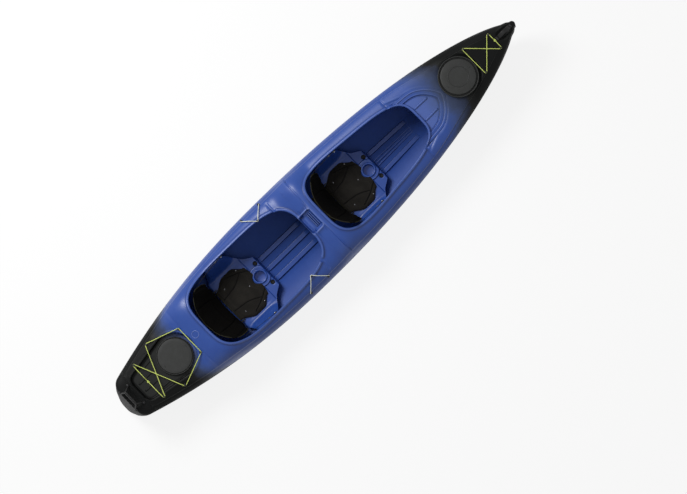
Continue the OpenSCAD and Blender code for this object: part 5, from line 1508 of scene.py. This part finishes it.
def build_straps(end, base):
    """The two backrest straps with their ladder buckles, and the steel anchors on the coaming wall."""
    ax, o = ANCHORS[end]
    ay = float(open_half(o, np.array(ax)))
    az = float(deck_z(np.array(ax), np.array(ay))) - 15
    turn = math.atan2(float(open_half(o, np.array(ax + 10.0)) - open_half(o, np.array(ax - 10.0))), 20)
    start = back_turn(end, base, np.array([BACK_WRAP * 0.6, 254.0, 225.0]))
    stop = np.array([ax - 15.1, ay - 6, az])
    middle = mix(start, stop, 0.5) + np.array([0, 3, -5])
    path = line3([start, middle, stop], 60)
    buckle_at = path[-9]
    along = unit(path[-6] - path[-12])
    side = unit(np.cross((0, 0, 1), along))
    axes = np.stack([along, side, np.cross(along, side)])
    for name, sign in (("port", 1), ("starboard", -1)):
        flip = np.array([1, sign, 1])
        v, q = carried(path * flip, bar_of(2.0, 25.0, 0.9))
        strap = make_piece(end + "_" + name + "_strap", v, q, finish("woven_webbing"), body=None,
                           uv=carried_uv(path, 16))
        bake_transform(strap)
        if sign == 1:
            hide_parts(end + "_backrest_straps")
        bars = [shifted(pillow(2.4, 2.8, 15.5, 0.4, 0.6), (dx, 0, 0)) for dx in (-8, 0, 8)]
        bars = bars + [shifted(pillow(10.4, 2.6, 2.2, 0.5, 0.5), (0, 0, dz)) for dz in (-14.4, 14.4)]
        part = placed(joined(bars), buckle_at, axes)
        v, q = part if sign == 1 else mirrored(part)
        make_piece(end + "_" + name + "_buckle", v, q, finish("grey_acetal"))
    c, s = math.cos(turn), math.sin(turn)
    axes = np.array([[c, s, 0], [0, 0, 1], [s, -c, 0]])
    plate = placed(shifted(pillow(14, 11, 5, 0.3, 0.45), (0, 0, 5)), (ax, ay - 1, az), axes)
    v, q = joined([plate, mirrored(plate)])
    make_piece(end + "_anchor_plates", v, q, finish("glass_filled_nylon"))
    head = placed(shifted(screw_head(6.5, 3.4), (0, 0, 9.8)), (ax, ay - 1, az), axes)
    v, q = joined([head, mirrored(head)])
    make_piece(end + "_anchors", v, q, finish("pressed_stainless"),
               nodes=(end + "_strap_anchors",))


def line3(points, count):
    """A bent line through three points in space, at even steps: a curve of the second degree."""
    a, m, b = (np.asarray(p, float) for p in points)
    t = np.linspace(0, 1, count)[:, None]
    k = 2 * m - (a + b) / 2
    return (1 - t) ** 2 * a + 2 * t * (1 - t) * k + t ** 2 * b


# Along a rail: its two screws, and where the pedal rests
RAIL_SCREWS = (0.0, 375.0)
PEDAL_REST = 187.5


def rail_axes(front):
    """Place and axes of a port rail: along it, out to the hull's side, and up."""
    if front:
        a = np.array([1138, 295.432, 232])
        d = unit(np.array([0.973589, -0.198856, 0.112164]))
    else:
        a = np.array([-250, 397.466, 166])
        d = unit(np.array([0.99975, -0.015638, 0.016]))
    up = unit(np.array([0, 0, 1]) - d * d[2])
    return a, np.stack([d, np.cross(up, d), up])


def build_foot_braces():
    """Four foot braces: rails with a row of catch teeth, ribbed pedals on them, and screws through the
    hull."""
    heads = []
    for front, end in ((False, "rear"), (True, "front")):
        a, axes = rail_axes(front)
        bar = np.linspace(-18, 393, 120)[:, None] * np.array([1.0, 0, 0]) + np.array([0, -16.0, 0])
        body = carried(bar, bar_of(12, 26, 2.0))
        teeth = [shifted(pillow(3.2, 2.4, 5.5, 0.4, 0.5, 9, 16), (x, -9.2, 0))
                 for x in np.arange(18.75, 360, 12.5)]
        bosses = [placed(turned([(0.01, 0), (7, 0), (7, 5), (8.5, 7), (0.01, 7)], 32), (x, -4, 0),
                         [[1, 0, 0], [0, 0, 1], [0, -1, 0]]) for x in RAIL_SCREWS]
        port = placed(joined([body, *bosses]), a, axes)
        comb = placed(joined(teeth), a, axes)
        for part, name in ((port, "port"), (mirrored(port), "starboard")):
            v, q = part
            make_piece(end + "_" + name + "_track", v, q, finish("glass_filled_nylon"),
                       nodes=(end + "_" + name + "_rail",), sharp=40)
        for part, name in ((comb, "port"), (mirrored(comb), "starboard")):
            v, q = part
            make_piece(end + "_" + name + "_catch", v, q, finish("glass_filled_nylon"))
        plate = shifted(pillow(4.5, 36, 65, 0.3, 0.3, 25, 48), (0, -27.4 - 36, 0))
        ribs = [shifted(pillow(2.2, 31, 2.6, 0.5, 0.5, 9, 24), (-4.4, -63, z)) for z in range(-50, 51, 20)]
        face = placed(joined([plate, *ribs]), a + PEDAL_REST * axes[0], axes)
        for part, name in ((face, "port"), (mirrored(face), "starboard")):
            v, q = part
            make_piece(end + "_" + name + "_tread", v, q, finish("glass_filled_nylon"),
                       body=end + "_" + name + "_pedal")
        outward = axes[1]
        flat = np.stack([axes[0], np.cross(outward, axes[0]), outward])
        for x in RAIL_SCREWS:
            head = placed(screw_head(6.4, 3.2), a + axes[0] * x + outward * 5.2, flat)
            heads.extend([head, mirrored(head)])
    v, q = joined(heads)
    make_piece("brace_screws", v, q, finish("pressed_stainless"), nodes=("rail_screws",))
    pedals = [end + "_" + side + "_pedal" for end in ("rear", "front") for side in ("port", "starboard")]
    dress(pedals, finish("glass_filled_nylon"))


BOW_EYES = ((BOW - 397, 118.0), (BOW - 193, 67.0))
STERN_EYES = ((STERN + 307, 160.0), (STERN + 480, 208.0), (STERN + 742, 118.0))
PADDLE_EYES = ((-422.0, 374.0), (-244.0, 374.0))
HOOK_X = -333.0


def deck_normal(x, y):
    """Direction square to the deck at a point."""
    gx = float(deck_z(np.array(x - 2.0), np.array(y)) - deck_z(np.array(x + 2.0), np.array(y))) / 4
    gy = float(deck_z(np.array(x), np.array(y - 2.0)) - deck_z(np.array(x), np.array(y + 2.0))) / 4
    return unit(np.array([gx, gy, 1.0]))


def deck_point(x, y):
    """A point on the deck."""
    return np.array([x, y, float(deck_z(np.array(x), np.array(y)))])


def at_eye(p, direction, side=1):
    """A point of the cord's middle beside an eye's neck."""
    n = deck_normal(p[0], p[1] * side)
    t = unit(np.array([direction[0], direction[1] * side, 0.0]))
    return deck_point(p[0], p[1] * side) + n * 8.4 + 7.6 * unit(t - n * (t @ n))


def round_eye(p, directions, side=1):
    """The cord's way round an eye."""
    return [at_eye(p, d, side) for d in directions]


def over_deck(a, b, lift, steps=8):
    """The cord's way between two eyes: straight, but never closer to the deck than its own thickness."""
    way = []
    for k in range(1, steps):
        p = mix(a, b, k / steps)
        rest = float(deck_z(np.array(p[0]), np.array(p[1]))) + 4.5 + (0 if lift == 0 else 3.4)
        way.append(np.array([p[0], p[1], max(p[2], rest) + (lift if k == steps // 2 else 0)]))
    return way


def led(a, b, lift):
    """An eye's turn with the way on to the next eye."""
    return a + over_deck(a[-1], b[0], lift)


def bow_route():
    """The bow cord: from its knot round all four eyes and back, crossing itself once."""
    fore = [(1, 0), (0.7, 0.7), (0, 1), (-0.68, 0.73)]
    aft = [(0.68, 0.73), (0, 1), (-0.7, 0.7), (-1, 0)]
    f, a = BOW_EYES[1], BOW_EYES[0]
    f1, a1 = round_eye(f, fore), round_eye(a, aft, -1)
    a2, f2 = round_eye(a, aft[::-1]), round_eye(f, fore[::-1], -1)
    mid = (f1[0] + f2[3]) / 2 + np.array([0, 0, 4])
    off = np.array([0, 9.0, 0])
    return np.array([mid + off] + led(f1, a1, 3.4) + led(a1, a2, 0) + led(a2, f2, -3.4) + f2 + [mid - off])


def stern_route():
    """The stern cord: from its knot round all six eyes and back, crossing itself once."""
    da = [(-1, 0), (-0.7, 0.7), (0, 1), (0.7, 0.7), (0.9, 0.43)]
    dm = [(-0.9, 0.43), (-0.7, 0.7), (0, 1), (0.33, 0.94)]
    df = [(0.33, 0.94), (0.7, 0.7), (1, 0)]
    a, m, f = STERN_EYES
    a1, m1, f1 = round_eye(a, da), round_eye(m, dm, -1), round_eye(f, df, -1)
    f2, m2, a2 = round_eye(f, df[::-1]), round_eye(m, dm[::-1]), round_eye(a, da[::-1], -1)
    mid = (a1[0] + a2[4]) / 2 + np.array([0, 0, 4])
    off = np.array([0, 9.0, 0])
    way = led(a1, m1, 3.4) + led(m1, f1, 0) + led(f1, f2, 0) + led(f2, m2, 0) + led(m2, a2, -3.4) + a2
    return np.array([mid + off] + way + [mid - off])


def hook_place():
    """Top of the coaming at the paddle hook."""
    y = float(open_half(REAR_OPEN, np.array(HOOK_X)))
    return np.array([HOOK_X, y, float(deck_z(np.array(HOOK_X), np.array(y))) + 10])


def paddle_route():
    """A paddle cord: from one eye in to the hook and out to the other eye."""
    turn = [(0.3, 1), (-0.7, 0.7), (-1, 0), (-0.68, -0.73)]
    h = hook_place() + np.array([0, 3, 8])
    e1 = round_eye(PADDLE_EYES[0], turn)
    e2 = round_eye(PADDLE_EYES[1], [(-x, y) for x, y in turn[::-1]])
    bend = [h + np.array(d) for d in ((-30, 26, -1), (-5.17, -5.55, 0), (0, -7.6, 0), (5.17, -5.55, 0),
                                      (30, 26, -1))]
    return np.array(e1 + bend + e2)


def knot_part(centre, r=3.0, size=7.5):
    """A trefoil knot: a tube on the curve (cos t - 2 cos 2t, sin t + 2 sin 2t, -sin 3t)."""
    t = np.linspace(0, 2 * np.pi, 121)
    path = np.stack([np.cos(t) - 2 * np.cos(2 * t), np.sin(t) + 2 * np.sin(2 * t), -np.sin(3 * t)], axis=-1)
    path = path * np.array([size / 3, size / 2.2, size / 2.4]) + np.asarray(centre)
    v, q = carried(path, ring_of(r, 10))
    return v, q, carried_uv(path, 10)


def cord_piece(name, route, colour, nodes, knot=None):
    """A shock cord along its route, and its knot."""
    path = rounded(route, 3)
    v, q = carried(path, ring_of(3.0, 12))
    make_piece(name, v, q, finish(colour), nodes=nodes, uv=carried_uv(path, 12))
    if knot is not None:
        v, q, uv = knot_part(knot)
        make_piece(name + "_knot", v, q, finish(colour), uv=uv)


def eye_part(x, y):
    """A deck eye: a turned button with a foot, a neck and a round head, square to the deck."""
    n = deck_normal(x, y)
    a = unit(np.cross((0.0, 1.0, 0.0), n))
    p = [(0.01, 16), (3, 15.9), (6.2, 15.2), (7.8, 14.2), (8.2, 13.4), (7.4, 12.9), (4.4, 12.6),
         (3.5, 11.6), (3.4, 8), (3.6, 5), (4.6, 4.1), (8.2, 3.7), (9, 3.0),
         (9.1, 0.9), (9.1, -4.5), (0.01, -4.5)]
    return placed(turned(p, 36), deck_point(x, y), np.stack([a, np.cross(n, a), n]))


def build_cords():
    """Bow, stern and paddle cords with their eyes, hooks and knots."""
    bow = bow_route()
    stern = stern_route()
    cord_piece("bow_cord", bow, "braided_lime_cord", ("bow_bungee",), (bow[0] + bow[-1]) / 2)
    cord_piece("stern_cord", stern, "braided_lime_cord", ("stern_bungee",),
               (stern[0] + stern[-1]) / 2)
    paddle = paddle_route()
    flip = np.array([1, -1, 1])
    cord_piece("port_paddle_cord", paddle, "braided_pale_cord", ("port_paddle_bungee",))
    cord_piece("starboard_paddle_cord", paddle * flip, "braided_pale_cord",
               ("starboard_paddle_bungee",))
    for name, places in (("bow", BOW_EYES), ("stern", STERN_EYES), ("paddle", PADDLE_EYES)):
        v, q = joined([eye_part(x, side * y) for x, y in places for side in (1, -1)])
        make_piece(name + "_eyes", v, q, finish("glass_filled_nylon"),
                   nodes=(name + "_deck_eyes",))
    p = hook_place()
    clip = [shifted(pillow(8, 1.5, 12.4, 0.3, 0.4), (0, -2.7, -9.6)),
            shifted(pillow(8, 8, 1.6, 0.4, 0.35), (0, 3.8, 2.3))]
    post = shifted(turned([(0.01, 15), (4.5, 14.8), (6, 13.9), (5.6, 12.7), (3.4, 12.1), (3, 11), (3, 3),
                           (0.01, 2.5)], 28), (0, 3, 0))
    part = shifted(joined([*clip, post]), p)
    v, q = joined([part, mirrored(part)])
    make_piece("paddle_clips", v, q, finish("glass_filled_nylon"),
               nodes=("paddle_hooks",))


def build_handles():
    """The bow strap handle and the stern grip on its four legs, with their screws."""
    ends = (BOW_HANDLE_X - 75, BOW_HANDLE_X + 75)
    a = deck_point(ends[0], 0.0) + np.array([0, 0, 5.9])
    b = deck_point(ends[1], 0.0) + np.array([0, 0, 5.9])
    k = np.linspace(0, 1, 41)[:, None]
    arch = mix(a + np.array([16, 0, 0]), b - np.array([16, 0, 0]), k)
    arch = arch + np.array([0, 0, 38.0]) * np.sin(np.pi * k) ** 0.8
    path = rounded(np.concatenate([a[None], arch, b[None]]), 1)
    v, q = carried(path, bar_of(30, 7, 2.6, 6))
    make_piece("bow_carry_strap", v, q, finish("handle_nylon"),
               nodes=("bow_handle",), sharp=60)
    parts = []
    grip_z = 374 + 72 - 12.0
    y = np.linspace(-66, 66, 61)
    core = np.stack([np.full_like(y, STERN_HANDLE_X), y, np.full_like(y, grip_z)], axis=-1)
    swell = np.sqrt(np.clip(1 - (np.abs(y) / 66.5) ** 8, 0.02, 1)) * (1 + 0.05 * np.cos(y / 66 * np.pi * 4))
    parts.append(carried(core, ring_of(11.5, 24), grow=swell))
    for side in (1, -1):
        for end in (1, -1):
            fx = STERN_HANDLE_X + end * 40
            foot = deck_point(fx, side * 80.0) + np.array([0, 0, 8.5])
            top = np.array([STERN_HANDLE_X, side * 54.0, grip_z])
            out = foot + np.array([0, side * 9.0, -1])
            leg = rounded(np.array([top, mix(top, foot, 0.35) + np.array([0, side * 3.0, 2]), foot, out]), 3)
            parts.append(carried(leg, ring_of(6.6, 18), up=(1.0, 0.0, 0.0)))
            pad = shifted(pillow(10, 12, 4.4, 0.5, 0.8), foot + np.array([0, side * 7.0, -2.6]))
            parts.append(pad)
    v, q = joined(parts)
    make_piece("stern_carry_grip", v, q, finish("handle_nylon"),
               nodes=("stern_handle",), sharp=60)
    heads = [shifted(screw_head(6, 3), (ends[0] + 8, 0, a[2] + 3.4)),
             shifted(screw_head(6, 3), (ends[1] - 8, 0, b[2] + 3.4))]
    for side in (1, -1):
        for end in (1, -1):
            foot = deck_point(STERN_HANDLE_X + end * 40, side * 80.0) + np.array([0, side * 8.0, 8.5 + 5.5])
            heads.append(shifted(screw_head(5, 3), foot))
    v, q = joined(heads)
    make_piece("grip_screws", v, q, finish("blackened_steel"), nodes=("handle_screws",))


def build_stage():
    """Floor, soft lights and the camera at the photograph's angle."""
    stage = bpy.context.scene.kayak_stage
    scene = bpy.context.scene
    scene.view_settings.view_transform = "Standard"
    half = 30.0
    mesh = bpy.data.meshes.new("studio_floor")
    mesh.from_pydata([(-half, -half, -0.0006), (half, -half, -0.0006), (half, half, -0.0006),
                      (-half, half, -0.0006)], [], [(0, 1, 2, 3)])
    mesh.materials.append(finish("studio_white"))
    floor = bpy.data.objects.new("studio_floor", mesh)
    scene.collection.objects.link(floor)
    world = bpy.data.worlds.new("studio_air")
    scene.world = world
    world.use_nodes = True
    tree = world.node_tree
    tree.nodes.clear()
    path = add(tree, "LightPath").node
    seen = seen_directly(tree, path)
    level = add(tree, "MapRange", (seen, 0.0, 1.0, stage.air, 1.0))
    air = add(tree, "Background", {"Strength": level, "Color": (1.0, 1.0, 1.0, 1.0)})
    out = tree.nodes.new("ShaderNodeOutputWorld")
    tree.links.new(air, out.inputs[0])
    lamps = (("key_light", (-1.2, 5.0, 6.0), 3.6, stage.key),
             ("fill_light", (2.5, -5.0, 6.5), 5.0, stage.fill))
    for name, place, size, power in lamps:
        lamp = bpy.data.lights.new(name, "AREA")
        lamp.shape = "DISK"
        lamp.size = size
        lamp.energy = power
        obj = bpy.data.objects.new(name, lamp)
        obj.location = place
        obj.rotation_euler = (Vector((0, 0, 0.3)) - Vector(place)).to_track_quat("-Z", "Y").to_euler()
        scene.collection.objects.link(obj)
    camera = bpy.data.cameras.new("photo_camera")
    camera.lens = stage.lens
    camera.clip_end = 200.0
    obj = bpy.data.objects.new("photo_camera", camera)
    scene.collection.objects.link(obj)
    back = Vector((0.0, -math.sin(stage.tilt), math.cos(stage.tilt)))
    up = Vector((0.6997, 0.7145, 0.0))
    right = up.cross(back).normalized()
    top = back.cross(right)
    place = Vector(stage.aim) + back * stage.distance
    rows = [(right[i], top[i], back[i], place[i]) for i in range(3)] + [(0.0, 0.0, 0.0, 1.0)]
    obj.matrix_world = Matrix(rows)
    scene.camera = obj


class KayakShell(bpy.types.PropertyGroup):
    """Colours and small forms of the moulded shell."""

    blue: bpy.props.FloatVectorProperty(
        name="Blue", description="Main colour of the shell", subtype="COLOR", size=4, min=0, max=1,
        default=hexcolor("#20418F"))
    blue_light: bpy.props.FloatVectorProperty(
        name="Light blue", description="Paler clouds in the blue", subtype="COLOR", size=4, min=0, max=1,
        default=hexcolor("#2A4E9B"))
    ends: bpy.props.FloatVectorProperty(
        name="Ends", description="Colour that bow and stern fade to", subtype="COLOR", size=4, min=0, max=1,
        default=hexcolor("#080909"))
    # Colour of the painted highlight on the ridges and rims
    ridge_highlight: bpy.props.FloatVectorProperty(
        name="Ridge highlight", description="Pale colour of the ridges", subtype="COLOR", size=4, min=0, max=1,
        default=hexcolor("#8C9FDC"))
    # Colour of the painted sheen where the blue turns to black
    sheen_slate: bpy.props.FloatVectorProperty(
        name="Slate", description="Colour between the blue and the ends", subtype="COLOR", size=4, min=0,
        max=1, default=hexcolor("#3F4A60"))
    crease: bpy.props.FloatProperty(
        name="Shoulder crease", description="Drop of the step along the deck's shoulder", unit="LENGTH",
        min=0.0, max=0.008, default=0.006)
    rim: bpy.props.FloatProperty(
        name="Tray rims", description="Height of the raised rims round the trays and the tank well",
        unit="LENGTH", min=0.0, max=0.008, default=0.0055)


class KayakSoft(bpy.types.PropertyGroup):
    """Colour and filling of the pads."""

    pad: bpy.props.FloatVectorProperty(
        name="Pad cloth", description="Colour of the pad cloth", subtype="COLOR", size=4, min=0, max=1,
        default=hexcolor("#1F1D1A"))
    seat_swell: bpy.props.FloatProperty(
        name="Seat swell", description="Most that the seat pad's skin may move as it fills", unit="LENGTH",
        min=0.0, max=0.01, default=0.003)
    back_swell: bpy.props.FloatProperty(
        name="Backrest swell", description="Most that the backrest's skin may move as it fills",
        unit="LENGTH", min=0.0, max=0.016, default=0.005)


class KayakCords(bpy.types.PropertyGroup):
    """Colours of the shock cords."""

    lime: bpy.props.FloatVectorProperty(
        name="Lime cord", description="Colour of the bow and stern cords", subtype="COLOR", size=4, min=0,
        max=1, default=hexcolor("#DCEB78"))
    pale: bpy.props.FloatVectorProperty(
        name="Pale cord", description="Colour of the paddle cords", subtype="COLOR", size=4, min=0, max=1,
        default=hexcolor("#F0F4E0"))


class KayakStage(bpy.types.PropertyGroup):
    """Light levels and the camera."""

    key: bpy.props.FloatProperty(name="Key light", description="Power of the main light", unit="POWER",
                                 min=0, default=500.0)
    fill: bpy.props.FloatProperty(name="Fill light", description="Power of the second light", unit="POWER",
                                  min=0, default=12.0)
    air: bpy.props.FloatProperty(name="Air", description="Strength of the even light from all round", min=0,
                                 default=0.28)
    lens: bpy.props.FloatProperty(name="Lens", description="Focal length in millimetres", min=20,
                                  default=97.9)
    distance: bpy.props.FloatProperty(
        name="Distance", description="From the camera to the point it is aimed at", unit="LENGTH", min=1,
        default=14.0)
    tilt: bpy.props.FloatProperty(
        name="Tilt", description="Lean of the view to starboard", subtype="ANGLE", default=math.radians(3.4))
    aim: bpy.props.FloatVectorProperty(
        name="Aim", description="Point in the middle of the picture", subtype="TRANSLATION", size=3,
        default=(-0.0096, -0.3013, 0.33))


class KAYAK_OT_stage(bpy.types.Operator):
    """Set up floor, lights and camera"""

    bl_idname = "kayak.stage"
    bl_label = "Stage"

    def execute(self, context):
        build_stage()
        return {"FINISHED"}


class KAYAK_OT_shell(bpy.types.Operator):
    """Build hull, deck, seam ridge and moulded ribs"""

    bl_idname = "kayak.shell"
    bl_label = "Shell"

    def execute(self, context):
        build_hull()
        build_deck()
        build_seam()
        build_dash_tray()
        build_deck_ribs()
        build_ring_mark()
        build_floor_ribs()
        dress(("stern_bulkhead", "bow_foam_block"), finish("closed_cell_foam"))
        return {"FINISHED"}


class KAYAK_OT_hatches(bpy.types.Operator):
    """Build both hatch covers"""

    bl_idname = "kayak.hatches"
    bl_label = "Hatches"

    def execute(self, context):
        build_hatches()
        return {"FINISHED"}


class KAYAK_OT_seats(bpy.types.Operator):
    """Build both seats with pads and rivets"""

    bl_idname = "kayak.seats"
    bl_label = "Seats"

    def execute(self, context):
        build_seat("rear", REAR_SEAT)
        build_seat("front", FRONT_SEAT)
        return {"FINISHED"}


class KAYAK_OT_backrests(bpy.types.Operator):
    """Build both backrests with straps, buckles and anchors"""

    bl_idname = "kayak.backrests"
    bl_label = "Backrests"

    def execute(self, context):
        for end, base in (("rear", REAR_SEAT), ("front", FRONT_SEAT)):
            build_backrest(end, base)
            build_straps(end, base)
        return {"FINISHED"}


class KAYAK_OT_braces(bpy.types.Operator):
    """Build the foot braces"""

    bl_idname = "kayak.braces"
    bl_label = "Foot braces"

    def execute(self, context):
        build_foot_braces()
        return {"FINISHED"}


class KAYAK_OT_cords(bpy.types.Operator):
    """Build the shock cords, eyes and paddle clips"""

    bl_idname = "kayak.cords"
    bl_label = "Cords"

    def execute(self, context):
        build_cords()
        return {"FINISHED"}


class KAYAK_OT_handles(bpy.types.Operator):
    """Build the carry handles"""

    bl_idname = "kayak.handles"
    bl_label = "Handles"

    def execute(self, context):
        build_handles()
        return {"FINISHED"}


class KAYAK_PT_pieces(bpy.types.Panel):
    """Sidebar list of the kayak's pieces and values"""

    bl_idname = "KAYAK_PT_pieces"
    bl_label = "Two-seat Kayak"
    bl_space_type = "VIEW_3D"
    bl_region_type = "UI"
    bl_category = "Kayak"

    def draw(self, context):
        column = self.layout.column(align=True)
        for operator in OPERATORS:
            column.operator(operator.bl_idname)
        for group in ("kayak_shell", "kayak_soft", "kayak_cords", "kayak_stage"):
            values = getattr(context.scene, group)
            box = self.layout.box()
            for name in values.__annotations__:
                box.prop(values, name)


GROUPS = {"kayak_shell": KayakShell, "kayak_soft": KayakSoft, "kayak_cords": KayakCords,
          "kayak_stage": KayakStage}
OPERATORS = (KAYAK_OT_stage, KAYAK_OT_cords, KAYAK_OT_shell, KAYAK_OT_hatches, KAYAK_OT_seats,
             KAYAK_OT_backrests, KAYAK_OT_braces, KAYAK_OT_handles)


def register():
    for name, group in GROUPS.items():
        bpy.utils.register_class(group)
        setattr(bpy.types.Scene, name, bpy.props.PointerProperty(type=group))
    for operator in OPERATORS:
        bpy.utils.register_class(operator)
    bpy.utils.register_class(KAYAK_PT_pieces)


def unregister():
    bpy.utils.unregister_class(KAYAK_PT_pieces)
    for operator in reversed(OPERATORS):
        bpy.utils.unregister_class(operator)
    for name, group in GROUPS.items():
        delattr(bpy.types.Scene, name)
        bpy.utils.unregister_class(group)


def main():
    """Builds the stage and every piece."""
    register()
    bpy.ops.kayak.stage()
    bpy.ops.kayak.cords()
    bpy.ops.kayak.shell()
    bpy.ops.kayak.hatches()
    bpy.ops.kayak.seats()
    bpy.ops.kayak.backrests()
    bpy.ops.kayak.braces()
    bpy.ops.kayak.handles()


if __name__ == "__main__":
    main()
